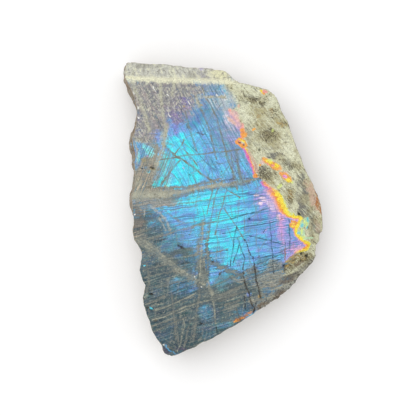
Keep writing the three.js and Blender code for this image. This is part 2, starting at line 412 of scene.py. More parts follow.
def glow(s, at, x, y, halfLength, halfWidth, angle=0):
    # a lens-shaped patch: 1 in its middle, falling to 0 at its edge
    turn = (0, 0, math.radians(angle))
    place = {"Location": (x, y, 0), "Rotation": turn, "Scale": (halfLength, halfWidth, 1)}
    own = s.node("Mapping", {"vector_type": "TEXTURE"}, {"Vector": at, **place})
    return s.node("TexGradient", {"gradient_type": "SPHERICAL"}, {"Vector": own}, "Fac")


def brightest(s, at, patches):
    return reduce(s.most, (glow(s, at, *patch) for patch in patches))


def streak(start, end, halfWidth):
    # a straight tapering streak as a very long patch
    run, rise = end[0] - start[0], end[1] - start[1]
    middle = ((start[0] + end[0]) / 2, (start[1] + end[1]) / 2)
    return (*middle, math.hypot(run, rise) / 2, halfWidth, math.degrees(math.atan2(rise, run)))


def spanDistance(s, at, start, end):
    # distance in mm from the straight line between two points of the face
    run = (end[0] - start[0], end[1] - start[1], 0)
    size = run[0] ** 2 + run[1] ** 2
    offset = s.vector("SUBTRACT", at, (*start, 0))
    share = s.clamp(s.dot(offset, (run[0] / size, run[1] / size, 0)))
    return s.vector("DISTANCE", offset, s.scaled(run, share), out="Value")


def seamDistance(s, at, halfWidth, *points):
    spans = zip(points, points[1:])
    return reduce(s.least, (spanDistance(s, at, start, end) for start, end in spans)) / halfWidth


def nearestSeam(s, at, seams):
    # distance from the nearest seam, 1 at its edge
    return reduce(s.least, (seamDistance(s, at, *seam) for seam in seams))


stoneLook = {
    "brightness": 0.84,  # of the whole stone
    "veil": 0.03,  # taken off every tone, for the polish puts about this much white back
    "wander": 0.9,  # how far patches and seams stray from their drawn places, mm
    "wanderSize": 4.5,  # size of those strays, mm
    "lineDepth": 0.95,  # how dark the finest lines in the flash are
    "fireWidth": 1.0,  # width of the warm band round the flash
    "polish": 0.3,  # roughness of the polished face
    "brokenRoughness": 0.62,  # and of the broken walls
    "specular": 0.35,
    "refraction": 1.56,  # of feldspar
    "bumpStrength": 0.35,
    "bumpDepth": 0.25,  # mm
}

palette = {
    "cyan": "55dcf8", "turquoise": "4ccbe0", "azure": "6ab9ec", "blue": "669fdc", "deepBlue": "4a86b8",
    "periwinkle": "7d9be0", "lilac": "a79ce0", "pink": "efb0dd", "violet": "7f78ad", "mauve": "8c8897",
    "greyMauve": "929196", "fleck": "cdccb6", "steel": "86a0bb", "steelBlue": "6f9fc6",
    "paleHaze": "b6c5cb", "slate": "4e697e", "dimTeal": "54696f", "deepTeal": "2f4a55", "teal": "5f9db0",
    "tan": "929286", "cream": "dedcbc", "crest": "eeeccb", "sand": "b9b8a3", "greyTan": "98968a",
    "darkGrey": "706f6b", "paleGrey": "c6c6bb", "paleYellow": "e4e1b8", "hazeGreen": "8c9188",
    "lineBlue": "3a6078", "lineTan": "7c8178", "olive": "a99f74", "umber": "5d543f", "dimBlue": "5a8296",
    "paleLilac": "bcc2da", "paleCyan": "83dae6", "blushWhite": "e6d6ea", "ochre": "b79a5c",
    "matrix": "d3d4b5", "matrixPale": "e2e3c8", "matrixGrey": "9d9c8b", "oliveBlack": "433f2d",
    "dullBlue": "4c83a2", "orchid": "cfa4de", "duskPurple": "56506c", "orange": "f7a644",
    "yellow": "fbe14c", "lime": "dcec86", "paleTeal": "bfe0b8", "salmon": "f2a09a", "peach": "e6bfa6",
    "blush": "f0bcc4", "magenta": "e36fb8", "rust": "cfae9a", "rustEdge": "b06f3c", "brown": "7a6856",
    "blackBrown": "2c2620", "white": "f2f2ea", "wall": "9b8771", "wallDark": "5f574c", "wallPale": "c9c2ad",
    "back": "8a8880", "backPale": "a9a79d",
}


def tone(name):
    # a palette colour as the linear colour that a shader takes
    code = palette[name]
    parts = [int(code[i:i + 2], 16) / 255 for i in (0, 2, 4)]
    bare = [((p + 0.055) / 1.055) ** 2.4 - stoneLook["veil"] for p in parts]
    return tuple(stoneLook["brightness"] * max(b, 0.004) for b in bare)


def wash(s, under, name, value, low, high, *shares):
    # a palette colour over another, where a value passes from low to high
    cover = s.step(value, low, high)
    for share in shares:
        cover = cover * share
    return s.mix(under, tone(name), cover)


def ramp(s, value, *stops):
    return s.node("ValToRGB", {"stops": [(place, tone(name)) for place, name in stops]}, {"Fac": value})


# Marks on the polished face, in mm. Layers of patches, painted in this order: tone, softness of edge, share,
# then patches of x, y, half-length, half-width and, where it is turned, an angle in degrees.
flashPatches = [
    ("steelBlue", 0.5, 0.95, (0, 32, 16, 14), (7, 17, 8, 10), (-4, 24, 8, 9)),
    ("azure", 0.8, 0.85, (-9, 30, 7, 8, 15), (-1, 17, 8, 7), (8.6, 16, 4, 6, 20), (-4, 23, 6, 4)),
    ("steel", 0.7, 0.7, (-4, 41, 11, 6), (3, 30, 4, 12, 8)),
    ("paleHaze", 0.7, 0.95, (1, 43.4, 8, 4.4), (5, 47, 7, 8), (1.6, 39, 4, 4)),
    ("deepBlue", 0.8, 0.7, (-10.6, 36, 5, 3.4, -20), (-7, 38.4, 2.6, 3), (-12, 34, 4, 4)),
    ("paleLilac", 0.8, 0.85, (4, 33.4, 2.8, 4.8, 12), (2, 37, 3, 2)),
    ("lilac", 0.8, 0.6, (3.6, 27, 3, 3), (5.6, 31.4, 1.4, 2.4)),
    ("steel", 0.5, 0.95, (-5, 47.6, 6.4, 3.6, -8), (-4, 50.6, 9, 3.2)),
    ("paleHaze", 0.8, 0.9, (3.6, 47, 4, 7)),
    ("greyMauve", 0.42, 1.0, (-26, 45, 20, 14), (-33, 32, 8, 6.5), (-16, 49, 9, 5), (-27, 34, 7, 7)),
    ("mauve", 0.7, 0.9, (-18, 41, 8, 5), (-10, 46.6, 3, 2), (-34, 36, 4, 4)),
    ("violet", 0.7, 0.95, (-18.5, 37, 6.5, 4.5, -10), (-15, 42.4, 3.6, 3, 20)),
    ("periwinkle", 0.7, 0.85, (-18.4, 32.4, 6, 3.4), (-26, 28.5, 3.5, 3), (-33.6, 29.6, 2.4, 2)),
    ("cyan", 0.5, 1.0, (-15, 22, 9.5, 10), (-15, 13.5, 11, 5.5, 8), (-19, 26, 5, 5)),
    ("turquoise", 0.9, 0.5, (-12.4, 17, 4, 4, 30), (-14, 26, 3, 3)),
    ("azure", 0.7, 0.9, (-4, 17, 6, 7), (-8, 26, 5, 5, 30)),
    ("steelBlue", 0.6, 0.9, (-32, 24, 6, 5)),
    ("greyTan", 0.5, 1.0, (-33, 12, 8.8, 8.4), (-27, 6.5, 12, 3.6, 5), (-27.6, 20, 2.4, 8, -8),
     (-31, 18.6, 4, 2.6)),
    ("greyMauve", 0.5, 0.9, (-31, 28.6, 7, 2.4, -12)),
    ("turquoise", 0.6, 0.95, (-23, 18, 3.4, 7.4, -10), (-24, 12.6, 2.6, 3.6, -35),
     (-26.4, 10.2, 2.6, 1.4, 40)),
    ("paleCyan", 0.8, 0.7, (-23.4, 17, 1.8, 6, -12), (-22, 12, 1.6, 3.4, -35)),
    ("sand", 0.9, 0.6, (-33.4, 7.4, 5, 4, 10), (-34.4, 11.4, 2.4, 2), (-23, 29, 1.6, 5, -12)),
    ("cyan", 0.6, 0.95, (-6, 4, 17, 5, 8), (2, -3.5, 12, 5, 12), (5, -12.5, 5.5, 12, -8), (-3.4, -12, 5, 6),
     (-8, -3, 4, 8, -10), (5, 6, 8, 5, 8), (2.4, -21, 4.4, 3, 10)),
    ("azure", 0.9, 0.8, (0, -8, 6, 2, 10), (-2, -20.5, 6, 3), (-17, -3.5, 7, 5, 10), (9, 9, 6, 3, 10),
     (-15, -14, 4, 2, 15)),
    ("blue", 0.6, 0.75, (15, -8, 8, 14), (13, 3, 7, 4, 10), (-14, -9, 6, 4, 10)),
    ("periwinkle", 0.8, 0.7, (20, -11, 6, 9), (13, -5, 3, 4), (30, -14, 6, 3, -10)),
    ("azure", 0.9, 0.75, (14.6, -9.6, 4.6, 7.6, -12), (11, -16, 4, 3)),
    ("lilac", 0.7, 0.9, (24.6, -9, 3.4, 12, 6), (20.6, -1.5, 4, 5), (16.5, 4, 5, 5, 20),
     (28, -16, 5, 3, 20), (30.6, -15.6, 4, 2, 25)),
    ("orchid", 0.9, 0.6, (23.4, -8, 2, 9, 4), (20.4, 1, 3.4, 3, -30), (29, -15.6, 3, 1.4, 20)),
    ("dimTeal", 0.4, 1.0, (-27, -36, 18, 25), (-20, -54, 12, 9, 15), (-9, -46, 22, 16, 15),
     (-31, -10, 10, 13), (-19, -22, 12, 9, 20), (2, -36, 22, 9.5, 12), (-8.6, -26, 2.4, 9)),
    ("dimBlue", 0.8, 0.85, (-22, -13.6, 8, 4, 12), (-27.4, -5.6, 4, 6), (-14, -21.6, 5, 4),
     (-16.4, -32.4, 5, 4, 8), (-6.6, -41, 5, 5, 10), (-6, -48, 6, 5, 20), (-21, -8, 5, 4, 10)),
    ("deepTeal", 0.8, 0.9, (-26.4, -37.6, 5, 1.8, 15), (-24.6, -41.8, 5, 1.5, 16),
     (-15.8, -42.4, 4, 1.6, 20), (-26.4, -45, 4, 1.6, 16), (-28.6, -40.2, 2, 1.4), (-16, -54, 10, 4, 15)),
    ("deepTeal", 0.8, 0.45, (-26, -24, 9, 4, 15)),
    ("duskPurple", 0.8, 0.8, (-22.6, -57, 2.6, 2.2, -30), (-16, -55.6, 4, 1.4, 25), (-27, -50, 1.6, 3, 20)),
    ("deepTeal", 0.9, 0.5, (-8, -48.6, 5, 4, 20), (-24, -42.6, 5, 1.4, 16)),
    ("slate", 0.8, 0.8, (-27.4, -33.4, 3.4, 3), (-20.6, -48, 2.6, 3.4), (-21.4, -51.8, 2.6, 2.2),
     (-6, -47.4, 5, 5, 20), (-24, -52, 5, 3.4), (11, -38, 3, 3), (-3, -43, 2.4, 5)),
    ("teal", 0.8, 0.8, (1, -29.2, 8, 3.4, 15), (1, -46.6, 5, 2, 20), (-17, -10.6, 5, 2, 10)),
    ("hazeGreen", 0.6, 0.9, (19, -28, 11, 6, 20), (2, -34.4, 9, 2.4, 15), (21, -22.6, 5, 3, 15),
     (7, -28, 5, 2.2, 15), (4, -40, 4.4, 2.2, 15), (12, -25.4, 4, 2, 10), (11.4, -35.6, 1.8, 1.8)),
    ("dimTeal", 0.8, 0.6, (12, -26, 5, 4, 10), (15, -21.6, 5, 1.6, 20), (10, -33, 5, 3, 15)),
    ("greyTan", 0.7, 0.5, (20, -29, 7, 5, 20), (15, -36, 4, 5)),
    ("darkGrey", 0.7, 0.95, (-34.4, -5.4, 4.4, 7), (-35, 0, 5, 4)),
    ("greyTan", 0.6, 0.9, (-32, 2.4, 9, 2.8, 5), (-25, 2.6, 10, 2, 5), (-34, -12.4, 4.4, 4)),
]

# Lens-shaped glints of bare colour between the hazy bands
flashLenses = [
    ("azure", 0.5, 0.9, (-34, 25.5, 1.5, 2.2), (-29.6, 23.6, 2.2, 2.4)),
    ("paleCyan", 0.5, 0.95, (-33.8, 20.4, 0.8, 3.4, -5), (-29, 23.2, 2.8, 3.2, -5), (-31.6, 25, 1, 1.4),
     (-23.6, 21.6, 1, 2), (-22, 13.4, 0.7, 2.6, -35)),
    ("pink", 0.8, 0.6, (-29.9, 21, 0.9, 0.6), (-18.6, 30.5, 0.5, 0.4), (-15.8, 16.2, 0.8, 0.3, -50)),
    ("slate", 0.5, 0.6, (-29.4, 27.4, 1, 1.1), (-31.8, 12, 1, 0.9), (-32.4, 37, 0.9, 0.9)),
    ("turquoise", 0.5, 0.7, (-29.6, 15, 1, 0.8), (-26.4, 15.2, 0.5, 0.8), (-18.4, 8, 2, 0.5, 5),
     (-27, 9.4, 1.6, 0.6, 15)),
    ("dullBlue", 0.7, 0.9, (-17.4, -31, 5.6, 4.6, 10), (-6.8, -41.4, 3.8, 4.4, 10), (-13, -20.6, 2.6, 1.8),
     (-17.8, -19, 2.8, 1.2, 10), (0, -46.6, 4, 1.4, 22), (-20, -12.4, 3, 1, 10), (-27.6, -6.2, 3.4, 2, 8)),
    ("azure", 0.9, 0.55, (-18.4, -28.2, 1.8, 1, 15), (-14.6, -14.2, 2.8, 1.3, 20),
     (-16.6, -31.4, 2, 0.5, 10), (-7.6, -39.6, 1.6, 0.7, 10), (-28, -5.2, 1.8, 0.5, 8), (-18, -6, 3, 1, 5)),
    ("periwinkle", 0.5, 0.7, (14.2, -16.4, 1.4, 1, 20), (6.8, -21.6, 1.4, 1.6), (16.6, -9, 2, 1.2, 40),
     (18.6, -2.2, 1.4, 1.2), (-4.6, 46, 2, 1.2), (10.4, -34, 1.4, 1)),
    ("blushWhite", 0.55, 0.95, (16.4, 4, 2.2, 1.5, -30), (19, 2, 2.4, 1.6, -35), (18.4, 5.6, 1.6, 1, -40),
     (20.2, -0.2, 1.8, 1.3, -30), (15.2, 2.2, 1.2, 0.8), (13.4, 5.4, 1.6, 0.8), (22.4, -3.4, 1.2, 1.6)),
    ("pink", 0.8, 0.95, (23.5, -3.4, 1.7, 2.2), (22.4, -0.6, 1.2, 1.2)),
    ("pink", 0.9, 0.36, (23.4, -9, 1, 6, 3), (23.2, -3.4, 1.8, 1.6), (19.4, 3.4, 2, 1.4, 30),
     (21.4, -0.8, 1.4, 1.2), (14, -19.4, 0.7, 0.7), (17.6, -8, 0.5, 1.4, -40), (19, -2.4, 0.5, 0.7),
     (24.4, -13, 1, 2)),
    ("deepTeal", 0.5, 0.95, (-25.4, -12.6, 3.4, 0.6, 14), (-26.4, -37.9, 3.2, 1, 16),
     (-26.4, -21.8, 2.2, 0.8, 10), (-25, -41.6, 3.4, 0.9, 14), (-28.4, -40.2, 1.4, 1),
     (-25.4, -44.6, 3, 1, 16), (-16, -42.4, 3, 0.9, 22), (-25, -22.2, 1, 0.7), (-15, -21.6, 3, 0.8, 10),
     (-18.6, -24.6, 2, 0.6, 10), (-1, -26.2, 0.6, 0.7), (-14, -35.6, 4, 0.5, 12)),
]

# Layers of seams: tone, share, then seams of half-width and points. First the pale healed crack.
healedCrack = [
    ("umber", 0.55, (0.8, (-23, 4), (-18, 4.8), (-10, 7.6)), (0.6, (-14, 6.4), (-6, 8), (4, 9), (12, 10.8)),
     (0.45, (-30.6, 8.4), (-27.6, 9), (-23, 8.4), (-14, 8.8), (-6, 10.8), (-1.8, 12)),
     (0.4, (-2, 10.8), (5, 12), (12.6, 12.2))),
    ("hazeGreen", 0.95, (2, (-37, 5.4), (-27, 5.6), (-22, 5.8)), (1.35, (-22, 5.8), (-16, 6.8), (-10, 8.4)),
     (1.05, (-10, 8.4), (0, 9.5)), (0.85, (0, 9.5), (8, 10.9)), (0.5, (8, 10.9), (12.6, 11.6)),
     (0.28, (12.6, 11.6), (16, 12.4)), (0.4, (-22, 8.4), (-14, 9), (-6, 10.4), (-2, 11.6)),
     (0.35, (-3, 11.4), (-1.4, 12.4), (0, 11.2)), (0.4, (5.6, 9), (5.8, 7.4))),
    ("sand", 0.75, (1.3, (-37, 5.4), (-27, 5.6), (-22, 5.9)),
     (0.6, (-22, 5.9), (-14, 7.3), (-6, 8.9), (2, 9.8))),
]

# Hazy bands where the polish is scratched
hazeAbove = [
    ("sand", 0.85, (0.8, (-36, 50), (-33.6, 44.4), (-31.6, 38.6), (-29, 31)),
     (0.6, (-25, 50), (-24.4, 42), (-24, 36.6), (-22.6, 31)), (0.6, (-19.6, 50), (-20.4, 45)),
     (0.45, (-11, 46), (-9.6, 40.6)), (0.5, (-10.4, 44.8), (0.8, 44.8))),
    ("greyTan", 0.85, (0.9, (-35, 28), (-30.8, 26.6), (-27, 24.6), (-26.4, 22), (-27.3, 18), (-28, 14))),
    ("sand", 0.7, (0.8, (-22.4, 33), (-23.2, 27), (-25.2, 21), (-27, 15)),
     (0.4, (-35.3, 29), (-34.5, 24), (-34.3, 18))),
    ("tan", 0.7, (0.5, (-34.6, 9), (-31.6, 12.4), (-29.4, 17)),
     (0.4, (-33, 6.8), (-28.4, 12), (-25.6, 16.4)), (0.35, (-35, 14.4), (-32.8, 17.4)),
     (0.4, (-29.4, 8.6), (-25.4, 13.6))),
]
hazeLeft = [
    ("paleGrey", 0.5, (0.4, (-29, 1.2), (-25, -2), (-22, -5.2), (-20.8, -9.6)),
     (0.3, (-25.4, -3.6), (-22.8, -8.6)), (0.25, (-31.4, -0.6), (-31.2, -3))),
    ("tan", 0.65, (0.36, (-29.4, -12.2), (-20, -9.2), (-9.6, -6.4)),
     (0.26, (-26, 1), (-24, 0), (-20.6, -2.8), (-17.6, -4.8), (-15.6, -5.4))),
    ("hazeGreen", 0.85, (1.4, (-33.4, -12.8), (-28, -16.4), (-22, -21), (-17.6, -24.6)),
     (1.3, (-17.6, -24.6), (-12, -27.6), (-8.8, -30.6))),
    ("sand", 0.4, (0.34, (-32.6, -12), (-27.8, -15.8), (-22.2, -20), (-15.4, -25), (-9.4, -28.6)),
     (0.2, (-33, -14), (-26, -18.4), (-22, -21.8), (-17.4, -25.6), (-12, -28.2)),
     (0.2, (-30, -13), (-25, -17.4), (-20.4, -22.6), (-14, -26.6))),
    ("tan", 0.55, (0.34, (-32, -24.8), (-28, -23.2), (-22, -22)),
     (0.3, (-31.2, -27.6), (-25, -26), (-18.6, -25)), (0.36, (-26.4, -31.2), (-19.2, -29.4), (-12.4, -28)),
     (0.3, (-22, -20), (-10.4, -18.2), (-4, -17.6), (2, -16)), (0.3, (-33, -19.6), (-27, -18)),
     (0.3, (-34, -9.6), (-29, -8.2)), (0.35, (-31, -36), (-29.4, -29), (-30.4, -22))),
    ("hazeGreen", 0.8, (0.7, (-8, -5.6), (-8.6, -10), (-9.4, -14.4), (-10.4, -18.4)),
     (0.36, (-5.2, -6.4), (-6, -12), (-6.8, -17.6), (-8, -22.4), (-9, -28)),
     (1.2, (-9, -18), (-8.8, -24), (-7.6, -30), (-6.4, -35))),
    ("sand", 0.6, (0.3, (-7.8, -6), (-8.4, -12), (-8.6, -18), (-9, -24), (-9.4, -30)),
     (0.34, (-7.4, -20), (-7.2, -26), (-5.4, -32), (-4, -35.6))),
]
hazeLow = [
    ("hazeGreen", 0.65, (0.5, (-27, -40.7), (-21.8, -39), (-14.6, -35.8), (-8, -33)),
     (0.6, (-28.4, -44.4), (-20.2, -41.6), (-13.8, -39), (-4, -36))),
    ("sand", 0.6, (0.24, (-26.8, -40.6), (-21.9, -39.1), (-18.4, -37.4), (-14.7, -35.6), (-10.8, -33.7)),
     (0.16, (-22, -40), (-14, -36.8)),
     (0.24, (-28.2, -44.3), (-24.4, -43.4), (-20.3, -41.7), (-16.8, -40.1), (-13.9, -39.1), (-10.8, -37.8),
      (-4, -36.1)), (0.16, (-20, -42.6), (-13, -39.8))),
    ("tan", 0.7, (0.35, (-27.2, -48.6), (-22.3, -46.8), (-17.3, -44.6), (-14.8, -43.4)),
     (0.4, (-30.4, -38.2), (-26.9, -36.8), (-23.3, -35)),
     (0.25, (-28.3, -46.8), (-24, -45.4), (-19.8, -44.3))),
    ("tan", 0.6, (0.44, (-9.4, -30), (-9.4, -34.7), (-10.2, -39.3), (-10.9, -45.4), (-11.8, -52.5)),
     (0.3, (-18.7, -43.9), (-18.3, -48.9), (-17.6, -54.6)), (0.34, (-13, -45), (-14.4, -50), (-15.4, -55)),
     (0.3, (-20.4, -34), (-19.4, -44), (-18.6, -52)),
     (0.35, (-24.7, -53.9), (-21.9, -55.3), (-18.3, -56.7))),
    ("sand", 0.55, (0.4, (-7, -24), (-5.9, -28.6), (-4.5, -33.3)), (0.8, (-5, -33), (-3.4, -36)),
     (0.3, (-3.8, -36), (-3.4, -40), (-2.8, -46)),
     (0.2, (-15.9, -43.9), (-15.1, -46.8), (-16.2, -49.6), (-16.9, -53.5), (-18, -57)),
     (0.4, (-9, -29.4), (-5, -31.6), (-3.6, -34))),
    ("hazeGreen", 0.8, (0.65, (-6, -20.4), (-1.6, -22.8), (2.8, -25.2), (7.6, -26.4)),
     (0.4, (-6.4, -14), (-6, -20), (-6, -26.2))),
    ("tan", 0.55, (0.28, (-4.4, -31.2), (-1.3, -29.8), (7.1, -26.2), (12.7, -23.1)),
     (0.5, (-3, -35.3), (1.8, -33.7), (6.5, -31.5), (9.8, -29.6)),
     (0.4, (-1.3, -36.4), (7.4, -33.4), (10.4, -32.4)), (0.26, (12, -27.6), (18, -25), (24, -23.4)),
     (0.3, (1, -38.4), (6.6, -36.6))),
]

# Fine lines across the flash, above and below the healed crack
fineAbove = [
    ("lineTan", 0.85,
     (0.3, (-26, 19.5), (-20, 20.4), (-14, 21.4), (-8, 22), (-3.2, 22.6), (4, 23.2), (8, 24)),
     (0.42, (-24, 26), (-21.6, 23.7), (-18.8, 21.2), (-16, 19.6), (-12, 16.8), (-8.8, 14.4), (-6.4, 12.8),
      (-3, 10.5)), (0.36, (-24.6, 9.6), (-24, 11), (-21.5, 14.2), (-18.8, 17.6), (-17.2, 19.6)),
     (0.26, (-19.4, 21.4), (-17.6, 24), (-15.4, 27.6)), (0.26, (-16, 24), (-12.4, 20.4), (-10, 17.2))),
    ("lineTan", 0.75, (0.34, (-14.8, 38.4), (-13.4, 32.8), (-12.2, 28.8), (-11.2, 25.6), (-10.4, 22.8)),
     (0.4, (-10.4, 44.4), (-8.8, 40), (-6.8, 36), (-5.4, 31.2), (-4, 26.4), (-2.6, 20)),
     (0.34, (-8.4, 49.2), (-6.8, 44.4), (-4.8, 41.6), (-2.4, 36), (-0.8, 30.8), (0.8, 24), (2, 20.8),
      (4, 14.8)), (0.5, (1.6, 21.6), (3.2, 16.8), (4.8, 12.8)),
     (0.55, (5.4, 23.2), (6.2, 17.2), (7.4, 12))),
    ("lineBlue", 0.5, (0.24, (-4.2, 19.6), (-5.6, 13.4)), (0.2, (-8, 26.4), (-1.6, 25.4), (2, 25.6)),
     (0.2, (-10.4, 30.4), (-6.4, 29.6)), (0.18, (-9, 21), (-3, 15)), (0.18, (-7, 19), (-2.6, 15.4)),
     (0.18, (-14, 26.4), (-9, 21.4))),
    ("umber", 0.6, (0.2, (-14.4, 33.6), (-13.2, 30.6), (-12, 28)), (0.16, (-10.2, 30.2), (-7.6, 29.6)),
     (0.2, (-17, 20.4), (-15.4, 19)), (0.16, (-3, 19), (-1, 17.6))),
]
fineBelow = [
    ("lineTan", 0.75, (0.26, (-2.2, 8), (-3.6, 2), (-5, -5.2), (-5.6, -12)),
     (0.3, (1.4, 7), (0, 2), (-1.6, -3.2), (-3.2, -10.4)), (0.24, (-4, 8), (-6.4, -2)),
     (0.24, (0.4, 0.4), (5.6, -7.2), (9.2, -13.2)), (0.3, (1.6, 7.6), (4.4, 6), (6.8, 4.4)),
     (0.26, (-9.6, -6.4), (-4, -5.2), (3.2, -4)), (0.3, (3.4, 22), (4.2, 12))),
    ("lineBlue", 0.75, (0.26, (3.2, -4), (10, -2), (18.4, 0.2)),
     (0.26, (5.6, -7.2), (4.8, -10.4), (3.6, -19.2), (2.8, -23.2)),
     (0.26, (6, -12), (7.6, -16.8), (8.8, -19.6), (8.2, -22)), (0.22, (6.8, -13.6), (6, -16), (4, -22.4)),
     (0.22, (7.2, -7.6), (13.2, -6.2), (21.2, -5.2)),
     (0.24, (10.8, -10.8), (16.4, -12), (22, -13.6), (24.4, -14.4))),
    ("lineBlue", 0.7, (0.24, (14, -22), (24.4, -17.6)), (0.24, (12.8, -20.4), (19, -18.6), (26, -16)),
     (0.22, (13, -23.6), (20, -21.4), (25, -19)), (0.22, (6.4, 5.8), (10, 6), (14.8, 5.4), (17.2, 4.8)),
     (0.24, (18.8, -4.8), (19.6, -16)), (0.3, (26.6, -3.6), (26.8, -16.4)), (0.22, (25, -13.4), (25, -20)),
     (0.2, (16.4, -14), (22, -15.6)), (0.22, (0, -9.8), (6, -8.6)), (0.22, (-6, -17.8), (2, -16.4))),
    ("lineTan", 0.6, (0.3, (-22, 1.2), (-8, 3.4), (4, 5.4)), (0.24, (-21, -0.4), (-10, 1.4)),
     (0.24, (-22, 2.4), (-9, 4.8)), (0.22, (-19, -6.6), (-9, -4.6)), (0.24, (8.6, -3), (8.8, -9)),
     (0.22, (13.6, -8), (13.4, -14))),
]

darkSeams = [
    ("rustEdge", 0.5, (0.25, (25.1, -15.6), (25.2, -18), (25, -20.6))),
    ("umber", 0.5, (0.45, (12.6, -23), (13.4, -27.5), (14.2, -31), (15.2, -35.6)),
     (0.36, (8.2, -21.9), (8.3, -27.8), (10.2, -33.4), (11.9, -38.4)),
     (0.34, (5.5, -39.9), (6.1, -42.4), (7.1, -44.3))),
    ("blackBrown", 0.8,
     (0.22, (12, -19), (12.6, -23), (13.3, -27.5), (14.1, -30.3), (14.5, -33.4), (15.1, -35.6)),
     (0.17, (8.2, -21.9), (7.9, -24), (8.3, -27.8), (9.3, -30.9), (10.2, -33.4), (11, -36.2), (11.9, -38.4),
      (13, -40.2)), (0.15, (19.7, -16), (20, -22), (20.3, -25.6)),
     (0.2, (8.6, -34.6), (9, -37.4), (9.3, -40.2)), (0.24, (13.3, -37.4), (12.1, -41.5)),
     (0.2, (-2.5, -47.4), (-2.2, -49.4)), (0.17, (9.4, -13.4), (10.4, -16.4), (12, -20))),
    ("blackBrown", 0.7, (0.3, (-17.8, -14.8), (-15.6, -16.2)), (0.26, (-28.9, 16.6), (-27, 16.1)),
     (0.18, (-33.2, 16.3), (-31.8, 16.2)), (0.26, (-29.4, -34), (-27.8, -34.3)),
     (0.24, (-8.8, -45.4), (-7.2, -46)), (0.16, (5.8, 27), (6.6, 26.4)), (0.18, (16.2, -9.4), (17.2, -8)),
     (0.2, (14, -19.4), (14.8, -18.8)), (0.3, (31.1, -17.8), (31.6, -17.9)),
     (0.26, (33.3, -18.5), (33.7, -18.6))),
]

# Where the flash gives way to the pale matrix, from the bottom up; the warm band runs along it
fireLine = [
    (23.6, -27), (24.1, -23.5), (25.3, -21.1), (27.6, -19), (30.4, -16.8), (33.6, -15.8), (34.3, -14.2),
    (31.9, -13), (30.3, -11.6), (29.1, -10), (28.9, -8.4), (29.7, -6.8), (30.6, -5.2), (31, -3.9),
    (25.9, -2.8), (25, -1.6), (22.6, 4), (20.3, 7.6), (16.7, 9.8), (13, 13.4), (11.8, 17), (9, 24),
    (6, 26.6), (7.8, 29), (7.8, 31), (5, 36), (2, 39.5),
]
matrixLine = [(60, -60), (42, -29), *fireLine, (5.4, 41), (4, 45), (0, 49.5), (-5, 54), (-7, 60)]

# Warm patches on the band and away from it
strayFire = [
    ("blush", 0.9, 0.6, (25, 14.2, 1.6, 1), (16, 18.6, 1.4, 1.4), (30.6, -16, 3, 1.5, 20),
     (3.4, 35.2, 2.6, 0.9, -45), (5, 38, 2.4, 1.6, -50)),
    ("peach", 0.7, 0.9, (3.4, 38.6, 2.6, 0.9, -55), (5.6, 36, 2, 1, -50), (6.4, 41, 0.7, 1.2)),
    ("blush", 0.9, 0.65, streak((1.8, 40.4), (8.4, 30), 1.8), (28.9, -4.4, 2, 0.7, -8)),
    ("salmon", 0.9, 0.85, (7.7, 32.4, 2.8, 1.2, 98), (2.8, 39.4, 1, 1), (23.4, 14, 1.2, 0.9, -30)),
    ("peach", 0.8, 0.7, streak((1.2, 37.6), (5.8, 33), 0.8)),
    ("orange", 0.5, 0.9, (8.4, 29.8, 1.8, 1.5), (7.6, 31.4, 1.2, 0.9),
     streak((15.6, 20.8), (19.8, 17.4), 1.3), streak((17.8, 18.8), (23.8, 15.4), 1.7),
     streak((22.4, 14.8), (28, 10.8), 1.6), (15, 17.4, 0.7, 0.6), (12.4, 31.8, 1.1, 0.5, 40),
     (16.4, 46.4, 0.9, 0.6, -40), (12.9, 13.3, 1.1, 1.2), (33.2, -15.4, 1.6, 0.8, 40),
     (28.3, -6.1, 1.1, 1.1)),
    ("yellow", 0.6, 0.95, (21.6, 17.2, 1.2, 1.3, 12), streak((16.4, 20), (20.4, 17.8), 0.8),
     (26.2, 11.5, 1.7, 0.9, -25), (15.5, 47.1, 1, 0.55, -62), (9.6, 23.6, 1.2, 0.7, -50)),
    ("salmon", 0.6, 0.9, (17, 47, 1.3, 0.9, -20), (20, 17.2, 0.7, 0.6), (18, 18, 0.4, 0.8, -20)),
    ("pink", 0.6, 0.95, (24.7, 12.9, 1.3, 0.8, -30)),
    ("magenta", 0.6, 0.6, (24.3, 13, 0.8, 0.4, -20), (29.4, -4.6, 0.7, 0.3)),
    ("lime", 0.6, 0.7, (19.9, 31, 0.6, 1), (22.8, 9.2, 1.6, 0.9, 50), (18.8, 19.5, 1.4, 0.8, -15),
     (27.7, 10.8, 0.8, 0.6)),
    ("paleTeal", 0.6, 0.9, (33.3, -5.2, 1.5, 2.4, -8), (31.7, -6.4, 1.2, 1.8), (30.8, -9.4, 1.3, 1.5, 20),
     (34.4, -11.8, 2.6, 0.6), (32.1, -10, 1, 2.4, 10)),
    ("turquoise", 0.7, 0.7, (31.7, -6.6, 0.7, 1, -20), (30.5, -9.5, 0.8, 0.6), (33.8, -4.4, 0.6, 1.4),
     (33.6, -7.4, 0.5, 1)),
    ("lime", 0.7, 0.85, (32.5, -4.9, 0.5, 1.4, 10), (33.3, -6.2, 0.4, 1.6), (31.6, -8.9, 0.5, 1.8, -10),
     (32.2, -11.4, 0.9, 0.7, -20), (31.2, -11.2, 0.8, 0.6, 30)),
]

